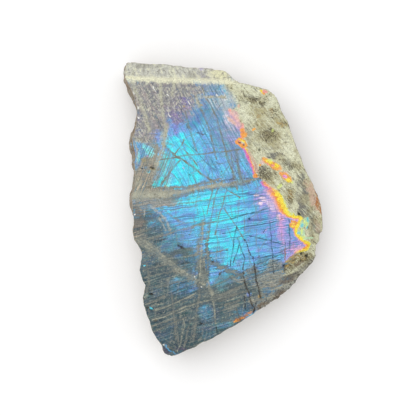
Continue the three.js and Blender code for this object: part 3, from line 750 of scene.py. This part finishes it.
# The ring of orange beside the band, the pits' rims and thin hot edges
fireSeams = [
    ("orange", 0.95,
     (0.42, (27, -6.1), (27.5, -5.1), (28.6, -4.9), (29.5, -5.6), (29.2, -6.8), (28.3, -7.3), (27.4, -7),
      (27, -6.1)), (0.45, (5.2, 27), (6.4, 28.2), (8.6, 27.2), (9.6, 25.4), (8, 24.6), (6, 26), (5.2, 27))),
    ("yellow", 0.9, (0.25, (27.5, -6.8), (28.2, -7.1), (29, -6.9)), (0.2, (27.8, -6.2), (28.6, -6)),
     (0.35, (6.6, 27.8), (8.4, 26.8)),
     (0.42, (31, -4), (30.5, -5.4), (29.6, -7), (29.1, -8.4), (29.4, -10), (30.5, -11.5), (31.9, -12.8)),
     (0.24, (30.6, -16.9), (33.2, -16))),
    ("magenta", 0.6, (0.26, (8.8, 24), (10.2, 21), (11.4, 17.4), (12.2, 14.4))),
    ("rust", 0.8, (0.5, (10.4, 23), (12, 20.2), (13.4, 17.4), (13.8, 15))),
]

matrixPatches = [
    ("matrixPale", 0.8, 0.8, (11, 48, 8, 1.8, -10), (19, 44, 3.5, 3.5), (3, 51, 6, 4), (25, 25, 4, 6, 25),
     (28, 23, 2.4, 5, 25), (17, 46, 6, 3, -20), (9, 37, 2.4, 6, 10)),
    ("olive", 0.8, 0.7, (14, 38, 5, 4, -35), (16, 34, 3.4, 3, -30), (22, 35, 4, 3, -40), (27, 5, 3, 5.4),
     (18, 12, 5, 2.6, 10), (30, -20, 7, 3.4, 20), (12, 43.6, 6, 2, -10), (26, -22.6, 3.6, 1.8, 35)),
    ("matrixGrey", 0.7, 0.75, (31.6, 4, 3, 13, 3), (20.5, 21.2, 5, 1.2), (36.4, -6.6, 3.6, 6),
     (26.6, 18, 2.4, 2.4, -20), (10.6, 30, 2.4, 6, 12), (33, -22, 6, 3, 30), (16, 15.6, 3, 1.6),
     (20, 24, 7, 1.6, -10), (12, 44.4, 4, 1.2, -20)),
    ("olive", 0.8, 0.7, (19, 29, 7, 5.4, -10), (17, 13.4, 5, 3.2, -15), (33, -19.4, 5, 4, 20)),
    ("matrixGrey", 0.8, 0.55, (18, 29, 5, 3.4, -10), (17, 14, 4, 2, -15)),
    ("umber", 0.9, 0.62, (19, 29, 5, 3.6, -10), (16.6, 13.6, 3.6, 2.6, -15), (24.6, 18.4, 1.8, 1.8, -20),
     (27.4, 16.4, 2.4, 1), (7.6, 45.4, 2.4, 1), (12, 43.6, 2.2, 1.2), (15.6, 41.6, 2.4, 1.4),
     (33, -19.4, 4, 3, 20), (25.4, -23.4, 2, 2.4), (28, -22.6, 4, 2, 30), (27, 4, 1.8, 4),
     (20.8, 14, 1.2, 1), (31, -22, 3.4, 1.6, 30)),
    ("ochre", 0.9, 0.75, (28, -20, 3.4, 1.7, 32), (26.2, -21.7, 1.8, 1.2, 35), (30.6, -18.8, 3, 1.4, 15)),
    ("darkGrey", 0.9, 0.6, (36.6, -6.4, 3.4, 6), (34, -1.4, 2.6, 5.4)),
    ("darkGrey", 0.7, 0.85, (32, 9, 1.8, 7, 5), (31.4, -1, 2.4, 7), (21, 21.1, 4.4, 0.8),
     (16, 15.6, 2.4, 1.2), (23.8, 21.1, 1.4, 0.5, -35), (13, 47.6, 2, 0.5, -30)),
    ("rust", 0.35, 0.85, (36.6, 5, 3.2, 8, 22)),
    ("rust", 0.8, 0.5, (38.4, -6, 1.8, 5)),
    ("rustEdge", 0.7, 0.9, (38.9, 2.4, 0.8, 7, 13)),
    ("ochre", 0.8, 0.75, (23.4, 34.6, 2.6, 1, -20), (19, 39, 2, 1.6, -20), (27, 6, 1.6, 2.4),
     (14, 36.4, 1.4, 1.8)),
    ("cream", 0.7, 0.85, streak((23, 26), (28.4, 19.6), 0.6), streak((20.6, 12), (22, 9.8), 0.35),
     streak((28.8, 13), (29.4, 10.8), 0.35), streak((24.4, 27.6), (27, 25.8), 0.6),
     streak((5, 48.4), (8, 43.4), 0.6), streak((28.6, 25.6), (32, 18), 0.6),
     streak((25.4, 33), (28, 26.6), 0.7), streak((26.4, 29), (29, 22.2), 0.4),
     streak((29, 22.2), (33.4, 14), 0.4), streak((29.8, 4.6), (30, -1), 0.3), (14.6, 23.6, 1.3, 1.2),
     (16, 22, 2.4, 0.5, -30)),
]

# The broken chamfer at the lower right: its own brown, rust and ochre, with painted shade on its steep steps
# and painted light on its pale ledge
chamferPatchesAndStepShading = [
    ("brown", 0.8, 0.8, (26, -28, 5.4, 2.2, 22), (23.2, -34.4, 4.6, 1.6, 26), (15, -38.8, 6, 1.2, 27),
     (30.4, -22, 3, 1.5, 32)),
    ("darkGrey", 0.7, 0.85, (26, -27.6, 4, 1.8, 18), (28.8, -26.2, 1.6, 1.2, 30), (24, -29.4, 1.6, 0.8, 20),
     (22, -33.8, 3, 0.9, 22)),
    ("sand", 0.5, 0.8, streak((18, -33), (29, -29.4), 0.5), streak((27, -25.2), (34.6, -20.2), 0.32),
     streak((17, -35.8), (22, -34.6), 0.4)),
    ("blackBrown", 0.8, 0.5, streak((15, -38.6), (27, -33), 0.5), streak((28, -30.6), (32, -26), 0.4)),
    ("rustEdge", 0.6, 0.8, (8.4, -43.2, 5, 0.9, 33), (5.4, -44.6, 1.8, 0.9, 25)),
    ("orange", 1.0, 0.8, (10.6, -41.8, 1.9, 0.8, 36), (7.6, -43.8, 1.8, 0.5, 30), (5.2, -45, 1.5, 0.6, 25)),
    ("oliveBlack", 0.8, 0.7, (26.4, -22.4, 2, 1.3, 35), (24.9, -24.6, 0.9, 1.5),
     (28.4, -20.4, 2.2, 0.7, 30), (24.6, -22.3, 1.2, 1.4)),
    ("ochre", 0.6, 0.85, (25.8, -20.9, 1.6, 0.5, 35), (25.7, -22.9, 1.4, 0.8, 40),
     (23.8, -25, 0.4, 0.9, 10), (27.8, -19.2, 1.6, 0.5, 30), (14.6, -35, 1, 0.8)),
]

# The sloping strip above the crest
stripPatches = [
    ("paleYellow", 0.7, 0.9, (-1, 53.4, 6, 4.4, -20), (-37, 52.5, 4, 2)),
    ("mauve", 0.8, 0.6, (-7.4, 53.4, 3.6, 3, -20)),
    ("lilac", 0.6, 0.5, (-9, 56.4, 2.6, 0.8)),
    ("greyTan", 0.8, 0.6, (-31, 57.4, 5, 1.4), (-25, 57, 2.4, 1.2), (-12.6, 53, 3, 2.6)),
    ("matrixPale", 0.8, 0.7, (-20, 54.6, 3.4, 2.4, -60), (-36, 55, 1.6, 3, 10)),
    ("paleHaze", 0.6, 0.8, (4, 52.2, 2.8, 1, -35)),
]

# Small flecks of the stone's own colours, and painted highlights: the white and turquoise dots on two small
# chips at the left edge and the white and azure marks on the chipped bottom-left tip are painted glints
flecksAndChipGlints = [
    ("white", 0.5, 0.85, streak((-28, 49.4), (-26.5, 46.3), 0.3), streak((-22.6, 46.2), (-21.2, 44.8), 0.3),
     streak((-14.4, 43.6), (-12.6, 41.2), 0.24), streak((-22, 38.4), (-20.6, 36.2), 0.28),
     streak((-2.8, 46.2), (-1.8, 45), 0.36), (-35.7, 46.2, 1, 0.5, -60), (-34, 40.4, 0.4, 0.8, 15),
     (-33.8, 36.4, 0.7, 0.4, -40), (-28.4, -39.8, 0.4, 0.4), (-31.4, -22.8, 0.4, 0.4),
     (-11.3, -27, 0.3, 0.4), (-8.5, -31.3, 0.3, 0.4), (-23.6, -54.4, 0.4, 0.5), (-35.3, -2, 0.4, 0.5)),
    ("ochre", 0.5, 0.7, (-15.6, 41, 0.6, 0.5), (-8.5, 41.2, 0.9, 0.5)),
    ("umber", 0.6, 0.6, (-26.9, -44.6, 1.2, 0.7, 10)),
    ("olive", 0.5, 0.6, (-31.6, 19.4, 1.4, 1), (-28, 16, 1.4, 0.7), (-22.6, 9, 1.4, 0.6)),
    ("turquoise", 0.4, 0.95, (-28.6, -39.8, 0.9, 0.5, -30), (-31.3, -22.7, 0.7, 0.4)),
    ("azure", 0.6, 0.7, (-21.8, -56, 2.6, 0.5, -42), (-19.4, -57.6, 1, 0.4, -45),
     (-22.6, -54.6, 0.8, 0.5, -40)),
    ("blackBrown", 0.5, 0.75, (-30, -39.4, 0.9, 0.6), (-31.8, -36, 0.6, 0.5)),
]

# Bare patches that bound zones: the scratched lower left, the brightest flash and the grey upper left
lowerLeftPatches = [(-24, -38, 22, 24), (0, -44, 24, 15, 15), (-30, -14, 8, 10)]
brightPatches = [
    (-14, 18, 13, 13), (6, -4, 20, 17, -10), (12, -10, 16, 13), (-4, 30, 16, 14), (-14, 0, 11, 8, 10),
]
greyPatches = [(-26, 45, 19, 13), (-33, 31, 6, 7), (-12, 46, 9, 6)]

# The net of long scratches: angle, mm between them and seed
scratchNet = [(-57, 4.4, 71), (-68, 5.4, 72), (13, 3.6, 73), (52, 6, 75), (76, 5, 76)]


def paint(s, title, colour, at, layers, ragged):
    # lays the patches of some layers over a colour, each layer over the last
    def build(inner, at, ragged, *under):
        painted = under[0] if under else colour
        for name, edge, share, *patches in layers:
            near = brightest(inner, at, patches)
            painted = wash(inner, painted, name, near * ragged, 0, edge, share)
        return [painted]
    under = {"under": colour} if isinstance(colour, Wire) else {}
    return s.part(title, build, {"at": at, "ragged": ragged, **under})[0]


def drawSeams(s, title, colour, at, layers, ragged, showing, border=0.0):
    # gives the colour and how much of it the seams cover; the border is the share of a dark edge
    def build(inner, at, ragged, under, shown=showing):
        cover = None
        for name, share, *seams in layers:
            near = nearestSeam(inner, at, seams) + ragged
            line = inner.clamp(inner.step(near, 1.5, 0.5) * shown * share)
            if border:
                under = wash(inner, under, "deepTeal", near, 2.6, 1.4, border * share)
            under = inner.mix(under, tone(name), line)
            cover = line if cover is None else inner.most(cover, line)
        return [under, cover]
    feeds = {"at": at, "ragged": ragged, "under": colour}
    if isinstance(showing, Wire):
        feeds["showing"] = showing
    return s.part(title, build, feeds)


def lineAcross(s, height, points):
    # the x at which a line drawn from bottom to top crosses each height, by a curve
    low, high = points[0][1], points[-1][1]
    left, right = min(p[0] for p in points) - 1, max(p[0] for p in points) + 1
    bends = [((y - low) / (high - low), (x - left) / (right - left)) for x, y in points]
    curve = s.node("FloatCurve", {"bends": [bends[0], bends[-1], *bends[1:-1]]},
                   {"Factor": 1.0, "Value": (height - low) / (high - low)})
    return curve * (right - left) + left


def fireBand(s, at, x, y, mottle):
    # the band's colour, the signed distance from its middle, less than 0 in the flash, and its strength
    away = seamDistance(s, at, 1.0, *fireLine)
    outside = s.step(x - lineAcross(s, y, matrixLine), -0.25, 0.25)
    broad = s.step(glow(s, at, 20, 3, 8, 10, 20), 0, 0.7)
    low = s.step(y, 9, 6)
    tail = s.step(y, -16.6, -18.6)
    inner = 0.45 + 0.4 * broad
    width = stoneLook["fireWidth"] * (inner + (0.62 - inner) * outside) * (1 - 0.45 * s.step(y, -1, -2.6))
    signed = away * (outside * 2 - 1) / width + mottle
    reach = s.clamp((signed + 9) / 12)
    cool = ramp(s, reach, (0.0, "periwinkle"), (0.4, "lilac"), (0.61, "lilac"), (0.69, "magenta"),
                (0.74, "salmon"), (0.79, "orange"), (0.84, "peach"), (0.93, "peach"))
    hot = ramp(s, reach, (0.0, "periwinkle"), (0.2, "lilac"), (0.4, "lilac"), (0.52, "blush"),
               (0.59, "salmon"), (0.64, "orange"), (0.68, "orange"), (0.73, "yellow"),
               (0.9, "yellow"), (0.97, "lime"))
    dull = ramp(s, reach, (0.4, "lilac"), (0.6, "orchid"), (0.68, "rustEdge"), (0.76, "ochre"),
                (0.84, "umber"))
    warm = s.mix(s.mix(cool, hot, low), dull, tail)
    strength = (1 - 0.35 * tail) * (1 - 0.75 * s.step(y, 30, 33)) * (1 - 0.35 * s.step(signed, -2, -3))
    return [warm, signed, strength]


class Face:
    # places on the polished face in mm, strayed in several ways, and the noises that its marks share
    def __init__(self, s, place):
        self.x, self.y = s.dot(place, (1, 0, 0)), s.dot(place, (0, 1, 0))
        self.level = s.join(self.x, self.y)
        broad = s.noise(self.level, 1 / stoneLook["wanderSize"], 1.0, out="Color")
        fine = s.noise(self.level, 0.9, 2.0, 0.6, out="Color")
        stray = s.vector("SUBTRACT", broad, (0.5, 0.5, 0.5))
        jitter = s.vector("SUBTRACT", fine, (0.5, 0.5, 0.5))
        # lines hardly wander, small marks a little, and the borders of soft zones are combed along the lines
        self.straight = s.vector("MULTIPLY_ADD", stray, (0.9, 0.9, 0), self.level)
        self.near = s.vector("MULTIPLY_ADD", jitter, (1.1, 1.1, 0), self.straight)
        self.risingBroad = s.grain(self.straight, 9, 18, 1.5, 8)
        steepBroad = s.grain(self.straight, 78, 14, 1.4, 18)
        combed = s.join((steepBroad - 0.5) * 4, (self.risingBroad - 0.5) * 4)
        wander = stoneLook["wander"] * 5
        moved = s.vector("MULTIPLY_ADD", stray, (wander, wander, 0), self.near)
        self.at = s.vector("ADD", moved, combed)
        self.mottle = s.noise(self.level, 0.8, 3.0, 0.65) - 0.5
        self.grit = s.noise(self.level, 2.1, 2.0, 0.7) - 0.5


def flashColour(s, f):
    # fine lines: each part of the flash has its own direction
    f.below = s.step(f.y - f.x * 0.12, 9.5, 6.5)
    f.lowerLeft = s.step(brightest(s, f.at, lowerLeftPatches), 0, 0.4)
    leftward = s.step(f.x + f.y * 0.2, -15, -21)
    rising = s.grain(f.straight, 8, 22, 0.42, 3)
    falling = 0.15 + 0.7 * s.grain(f.straight, -62, 12, 0.6, 13)  # fainter than the rest
    hatched = s.grain(f.straight, 69, 14, 0.5, 17)
    f.slanted = s.grain(f.straight, 17, 16, 0.55, 31)
    upper = falling + (hatched - falling) * leftward * s.step(f.y, 33, 27)
    comb = upper + (rising - upper) * f.below
    comb = comb + (f.slanted - comb) * f.lowerLeft
    steep = s.grain(f.straight, 81, 18, 0.45, 21)
    fan = s.step(glow(s, f.at, -2, -10, 15, 26), 0, 0.5) * s.step(f.mottle, -0.02, 0.1)
    combedEdge = 1 + f.mottle * 1.8 + (comb - 0.5) * 3.4

    flash = paint(s, "flash zones", tone("azure"), f.at, flashPatches, combedEdge)
    flash = paint(s, "flash lenses", flash, f.near, flashLenses, combedEdge)
    tingeAbove = s.grain(f.straight, -60, 5, 1.7, 91) * (1 - f.below)
    tinge = tingeAbove + s.grain(f.straight, 12, 5, 1.5, 92) * f.below - 0.5
    flash = s.node("HueSaturation", None, {"Hue": 0.5 + tinge * 0.16, "Saturation": 1 - tinge * 0.3,
                                           "Value": 1 - tinge * 0.3, "Color": flash})
    shade = s.mix(flash, (0.42, 0.47, 0.5), 1.0, "MULTIPLY")
    lines = s.most(s.step(comb, 0.49, 0.34), s.step(steep, 0.44, 0.32) * fan * 0.7)
    flash = s.mix(flash, shade, lines * stoneLook["lineDepth"])
    light = s.mix(flash, (1.5, 1.28, 1.16), 1.0, "MULTIPLY")
    flash = s.mix(flash, light, s.step(comb + (f.risingBroad - 0.5) * 0.5, 0.5, 0.64))
    slantedBroad = s.grain(f.straight, 18, 20, 1.6, 37)
    scratched = s.most(f.lowerLeft, s.step(glow(s, f.at, 16, -28, 14, 8, 20), 0, 0.4))
    paler = f.slanted + (slantedBroad - 0.5) * 0.7 + f.mottle * 0.9
    flash = wash(s, flash, "sand", paler, 0.58, 0.76, scratched, 0.4)
    darker = f.slanted + (slantedBroad - 0.5) * 0.6 + f.mottle * 0.8
    flash = wash(s, flash, "deepTeal", darker, 0.46, 0.34, scratched, 0.65)
    standing = s.grain(f.straight, 79, 14, 0.8, 43) + f.mottle * 0.8
    flash = wash(s, flash, "greyTan", standing, 0.55, 0.68, f.lowerLeft, 0.35)
    turqHatch = s.step(hatched, 0.52, 0.42) * s.step(glow(s, f.at, -25, 17, 7, 12, -15), 0, 0.4)
    return s.mix(flash, tone("tan"), turqHatch * 0.6), lines


def scratchedFlash(s, f, flash):
    # a thin net of long scratches, then the seams one by one; gives also how much the wide ones cover
    f.showing = 0.6 + 0.6 * s.step(s.noise(f.level, 0.35, 2.0), 0.4, 0.62)
    net = reduce(s.most, (s.scratches(f.level, angle, apart, seed) for angle, apart, seed in scratchNet))
    flash = s.mix(flash, tone("lineTan"), net * 0.4)
    mottle, grit = f.mottle, f.grit
    bundled = (f.slanted - 0.5) * 5  # splits the wide bands into bundles of scratches
    cover = None
    for title, layers, at, ragged, border, wide in (
        ("fine lines above", fineAbove, f.straight, mottle * 1.4 + grit, 0.0, False),
        ("fine lines below", fineBelow, f.straight, mottle * 1.4 + grit, 0.0, False),
        ("haze above", hazeAbove, f.near, mottle * 4 + grit * 3, 0.0, True),
        ("haze left", hazeLeft, f.near, mottle * 3.6 + grit * 3.6 + bundled, 0.3, True),
        ("haze low", hazeLow, f.straight, mottle * 3 + grit * 4 + bundled, 0.85, True),
        ("healed crack", healedCrack, f.near, mottle * 2.6 + grit * 2.4, 0.0, True),
    ):
        flash, here = drawSeams(s, title, flash, at, layers, ragged, f.showing, border)
        if wide:
            cover = here if cover is None else s.most(cover, here)
    return flash, cover


def speckledFlash(s, f, flash, cover):
    # specks where the polish is poor, then flecks in the grey upper left
    bright = s.step(brightest(s, f.at, brightPatches), 0, 0.35)
    f.poor = s.most(1 - bright, cover)
    f.speckle = s.noise(f.level, 1.3, 3.0, 0.7)
    greyZone = s.step(brightest(s, f.at, greyPatches), 0, 0.5)
    soot = s.mix(tone("umber"), tone("deepTeal"), f.lowerLeft * (1 - cover))
    soot = s.mix(soot, tone("duskPurple"), greyZone * 0.7)
    flash = s.mix(flash, soot, s.step(f.speckle, 0.46, 0.33) * f.poor * 0.65)
    flash = s.mix(flash, tone("cream"), s.step(f.speckle, 0.59, 0.7) * f.poor * (0.4 + 0.25 * cover))
    flecked = s.grain(f.straight, -62, 2.2, 0.42, 61)
    crossing = s.grain(f.straight, 48, 1.8, 0.4, 62)
    flash = wash(s, flash, "darkGrey", f.speckle + (flecked - 0.5) * 0.5, 0.48, 0.34, greyZone, 0.6)
    flash = wash(s, flash, "fleck", flecked + f.mottle * 0.5, 0.52, 0.64, greyZone, 0.7)
    return wash(s, flash, "fleck", crossing + f.mottle * 0.5, 0.55, 0.66, greyZone, 0.6)


def matrixColour(s, f):
    # pale feldspar streaked, blotched and dirtied
    mottle = f.mottle
    f.slope = s.grain(f.near, -48, 6, 0.6, 41, 3)
    pale = wash(s, tone("matrix"), "matrixPale", f.slope + mottle * 0.6, 0.5, 0.72, 0.8)
    pale = wash(s, pale, "matrixGrey", f.slope + mottle * 0.5, 0.48, 0.34, 0.75)
    streaks = s.grain(f.near, -50, 2.6, 0.42, 44) + mottle * 0.5
    pale = wash(s, pale, "olive", streaks, 0.47, 0.34, 0.6)
    pale = wash(s, pale, "cream", streaks, 0.56, 0.7, 0.6)
    combedEdge = 1 + mottle * 4 + f.grit * 3.4 - (streaks + f.slope - 1) * 4
    pale = paint(s, "matrix", pale, f.at, matrixPatches, combedEdge)
    blotch = s.noise(f.near, 0.16, 3.0, 0.62)
    pale = wash(s, pale, "olive", blotch, 0.48, 0.62, 0.45)
    dirt = f.speckle + (f.slope - 0.5) * 0.5 - s.step(blotch, 0.5, 0.68) * 0.08
    return wash(s, pale, "oliveBlack", dirt, 0.4, 0.29, 0.8)


def besideMatrix(s, f, flash):
    # the flash and the matrix with the warm band between them
    mottle, grit = f.mottle, f.grit
    feeds = {"at": f.near, "x": f.x, "y": f.y, "mottle": mottle * 2.6 + grit * 2.4}
    warm, signed, strength = s.part("warm band", fireBand, feeds)
    pale = matrixColour(s, f)
    edgeX = f.x - lineAcross(s, f.y, matrixLine) + mottle * 3 + grit
    hazy = s.step(f.y, 36, 41)  # no crisp border above the warm band
    f.inMatrix = s.step(edgeX / (1 + hazy * 2.2) + hazy * 0.6, 0.2, 1.3)
    face = s.mix(flash, pale, f.inMatrix)
    low = s.step(f.y, 9, 6)
    fireLength = s.step(glow(s, f.at, 18, 6, 34, 40), 0, 0.15)
    fireLength = fireLength * s.step(f.y, -23.5, -21) * s.step(f.y, 41, 38.5)
    gap = 1 - s.step(glow(s, f.near, 14.2, 11.6, 2.4, 1.6), 0, 0.5)
    outer = 1.5 + 1.3 * low
    across = s.step(signed, -3 - 5.5 * low, -2 + 0.9 * (1 - low)) * s.step(signed - outer, 0.3, -0.4)
    face = s.mix(face, warm, across * fireLength * gap * strength)
    spikes = (s.grain(f.near, 72, 2.4, 0.4, 47) - 0.5) * 3 + 0.4
    face = paint(s, "stray fire", face, f.near, strayFire, 1 + mottle * 2.4 + grit * 2 + spikes)
    return drawSeams(s, "warm rings", face, f.near, fireSeams, mottle * 2, 1.0)[0]


def chamferColour(s, f, face):
    mottle, grit = f.mottle, f.grit
    onChamfer = s.step(beyondChamfer(f.x, f.y) + mottle * 3 + grit * 2, -1, 0.6) * s.step(f.x, 12, 15)
    shabby = wash(s, tone("greyTan"), "sand", f.slope + mottle, 0.54, 0.74, 0.7)
    shabby = wash(s, shabby, "oliveBlack", f.speckle + (f.slope - 0.5) * 0.5, 0.49, 0.37, 0.85)
    face = s.mix(face, shabby, onChamfer * 0.95)
    # the chamfer's own colours, with painted shade on its steep steps and painted light on its pale ledge
    face = paint(s, "chamfer", face, f.near, chamferPatchesAndStepShading, 1 + mottle * 4 + grit * 4)
    face = wash(s, face, "oliveBlack", f.speckle + grit * 0.4, 0.46, 0.36, onChamfer, 0.6)
    return wash(s, face, "sand", f.speckle + grit * 0.4, 0.58, 0.68, onChamfer, 0.5)


def stripColour(s, f, face):
    # the strip above the crest and the pale crest itself
    mottle, grit = f.mottle, f.grit
    strip = paint(s, "top strip", tone("paleGrey"), f.at, stripPatches, 1 + mottle * 2)
    leaning = s.grain(f.near, -70, 3.4, 1.3, 51, 3)
    strip = wash(s, strip, "greyTan", leaning + grit * 0.7 + mottle * 0.6, 0.52, 0.32, 0.8)
    strip = wash(s, strip, "cream", leaning + mottle * 0.5, 0.5, 0.7, 0.7)
    crest = 50.9 - f.x * 0.03
    face = s.mix(face, strip, s.step(f.y + mottle - crest, -0.3, 0.5) * s.step(f.x, 7, 4))
    crestGlow = s.step(abs(f.y + mottle * 2.6 + grit * 1.4 - crest), 1.9, 0.2) * s.step(f.x, 9, 2)
    return s.mix(face, tone("crest"), crestGlow * (0.8 + grit))


def pitColour(s, f, face):
    pits = brightest(s, f.near, [(x, y, r * 0.95, r * 0.85) for x, y, r, _ in openPits])
    # painted shade: black-brown inside the open pits that are sunk into the mesh
    face = wash(s, face, "blackBrown", pits * (1 + f.grit * 4), 0.1, 0.6, 0.8)
    zones = [(x, y, wide * 1.2, high * 1.2) for x, y, wide, high, _ in pittedZones]
    crowded = s.step(brightest(s, f.level, zones), 0, 0.6)
    return wash(s, face, "oliveBlack", s.noise(f.level, 2.3, 1.0, 0.6), 0.52, 0.6, crowded, 0.85)


def faceColour(s, f):
    # the polished face with every painted mark, and its finest lines
    flash, lines = flashColour(s, f)
    flash, cover = scratchedFlash(s, f, flash)
    flash = speckledFlash(s, f, flash, cover)
    face = chamferColour(s, f, besideMatrix(s, f, flash))
    mottle, grit = f.mottle, f.grit
    face = drawSeams(s, "dark cracks", face, f.near, darkSeams, mottle * 3 + grit * 3, f.showing + 0.2)[0]
    # flecks, with painted glints on small chips
    face = paint(s, "flecks", face, f.near, flecksAndChipGlints, 1 + grit * 4)
    face = pitColour(s, f, stripColour(s, f, face))
    dust = s.noise(f.level, 3.2, 1.0, 0.6) - 0.5
    sheen = 1 + mottle * 0.7 + grit * 0.8 + dust * (0.5 + 0.6 * s.most(f.inMatrix, f.poor))
    face = s.node("HueSaturation", None, {"Hue": 0.5 + mottle * 0.05, "Saturation": 1 - grit * 0.4,
                                          "Value": sheen, "Color": face})
    return face, lines


def wallColour(s, place):
    # broken feldspar: pale cleavage faces, painted shade in the hollows and paler on the ridges
    clouds = s.noise(place, 0.3, 5.0, 0.7)
    colour = ramp(s, clouds, (0.32, "wallDark"), (0.46, "wall"), (0.58, "greyTan"), (0.74, "wallPale"))
    colour = wash(s, colour, "rust", s.noise(place, 0.16, 2.0), 0.54, 0.68, 0.35)
    grains = s.noise(place, 2.4, 3.0, 0.7)
    colour = wash(s, colour, "umber", grains, 0.46, 0.34, 0.55)
    colour = wash(s, colour, "cream", grains, 0.58, 0.7, 0.3)
    ridges = s.node("NewGeometry", None, None, "Pointiness")
    # painted shade: black-brown where the pointiness is low, in the hollows of the broken walls
    colour = wash(s, colour, "blackBrown", ridges, 0.5, 0.45, 0.6)
    # paler where the pointiness is high, on the ridges
    return wash(s, colour, "wallPale", ridges, 0.51, 0.56, 0.6)


def backColour(s, place):
    # the saw marks are arcs about a point far beside the stone
    swing = s.vector("LENGTH", s.vector("SUBTRACT", place, (-180, 60, 0)), out="Value")
    marks = s.noise(s.join(swing * 1.1, 0.02 * s.dot(place, (0, 1, 0))), 1.0, 3.0, 0.6)
    colour = wash(s, tone("back"), "backPale", s.noise(place, 0.12, 4.0, 0.6), 0.35, 0.65)
    colour = wash(s, colour, "dimTeal", s.noise(place, 0.07, 2.0), 0.5, 0.7, 0.35)
    return wash(s, colour, "darkGrey", marks, 0.52, 0.36, 0.5)


def labradorite():
    look = stoneLook
    material = bpy.data.materials.new("labradorite")
    material.use_nodes = True
    s = Bench(material.node_tree)
    shader = material.node_tree.nodes["Principled BSDF"]
    place = s.scaled(s.node("TexCoord", None, None, "Object"), 1 / millimetre)
    up = s.dot(s.node("TexCoord", None, None, "Normal"), (0, 0, 1))
    f = Face(s, place)
    face, lines = faceColour(s, f)
    onWall = s.step(up + f.grit * 0.3, 0.62, 0.42)
    colour = s.mix(face, wallColour(s, place), onWall)
    height = s.dot(place, (0, 0, 1))
    # painted highlight: the walls turn pale just under the polished rim, for the bright arris
    colour = wash(s, colour, "wallPale", height, thickness - 1.6, thickness - 0.3, onWall, 0.6)
    onBack = s.step(up, -0.5, -0.8)
    colour = s.mix(colour, backColour(s, place), onBack)
    s.tree.links.new(colour.socket, shader.inputs["Base Color"])
    polish = look["polish"] + 0.1 * f.inMatrix + 0.12 * lines + f.grit * 0.12
    rough = polish + (look["brokenRoughness"] - look["polish"]) * s.most(onWall, onBack)
    s.tree.links.new(s.clamp(rough).socket, shader.inputs["Roughness"])
    shader.inputs["Specular IOR Level"].default_value = look["specular"]
    shader.inputs["IOR"].default_value = look["refraction"]
    relief = s.noise(place, 1.4, 4.0, 0.7) * (0.25 + 1.6 * onWall) - lines * 0.12
    depth = look["bumpDepth"] * millimetre
    bump = s.node("Bump", None, {"Strength": look["bumpStrength"], "Distance": depth, "Height": relief})
    s.tree.links.new(bump.socket, shader.inputs["Normal"])
    return material


stone = fineCopy(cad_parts[stoneNode])
shapeStone(stone)
thinOut(stone)
print("stone shaped:", len(stone.data.polygons), "faces")
layOutMap(stone.data)
stone.data.materials.clear()
stone.data.materials.append(labradorite())
for side in stone.data.polygons:
    side.use_smooth = True
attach(stone, "root")
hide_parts(stoneNode)
print("labradorite laid on")

studio = {
    "floorSize": 3.0,  # m
    "floorTone": (0.95, 0.95, 0.95),
    "floorRoughness": 0.9,
    "skyStrength": 0.84,
    "softboxSize": 1.6,  # m
    "softboxPlace": (-0.35, 0.45, 1.3),  # m, the last above the floor
    "softboxWatts": 9.5,
    "cameraHeight": 0.462,  # m above the polished face
    "cameraPlace": (-0.0059, 0.00035),
    "lens": 100,  # mm
    "sensor": 36,  # mm
}


def paleFloor():
    bpy.ops.mesh.primitive_plane_add(size=studio["floorSize"], location=(0, 0, lowCorner[2]))
    floor = bpy.context.object
    floor.name = "floor"
    material = bpy.data.materials.new("pale_floor")
    material.use_nodes = True
    shader = material.node_tree.nodes["Principled BSDF"]
    shader.inputs["Base Color"].default_value = (*studio["floorTone"], 1)
    shader.inputs["Roughness"].default_value = studio["floorRoughness"]
    floor.data.materials.append(material)


def softLight():
    world = bpy.data.worlds.new("studio")
    bpy.context.scene.world = world
    world.use_nodes = True
    background = world.node_tree.nodes["Background"]
    background.inputs["Color"].default_value = (1, 1, 1, 1)
    background.inputs["Strength"].default_value = studio["skyStrength"]
    box = bpy.data.lights.new("softbox", "AREA")
    box.shape = "SQUARE"
    box.size = studio["softboxSize"]
    box.energy = studio["softboxWatts"]
    lamp = bpy.data.objects.new("softbox", box)
    lamp.location = studio["softboxPlace"]
    lamp.rotation_euler = (-Vector(lamp.location)).to_track_quat("-Z", "Y").to_euler()
    bpy.context.scene.collection.objects.link(lamp)


def overheadCamera():
    data = bpy.data.cameras.new("overhead")
    data.lens = studio["lens"]
    data.sensor_width = studio["sensor"]
    camera = bpy.data.objects.new("overhead", data)
    camera.location = (*studio["cameraPlace"], highCorner[2] + studio["cameraHeight"])
    bpy.context.scene.collection.objects.link(camera)
    bpy.context.scene.camera = camera


paleFloor()
softLight()
overheadCamera()
bpy.context.scene.view_settings.view_transform = "Standard"
print("studio ready")
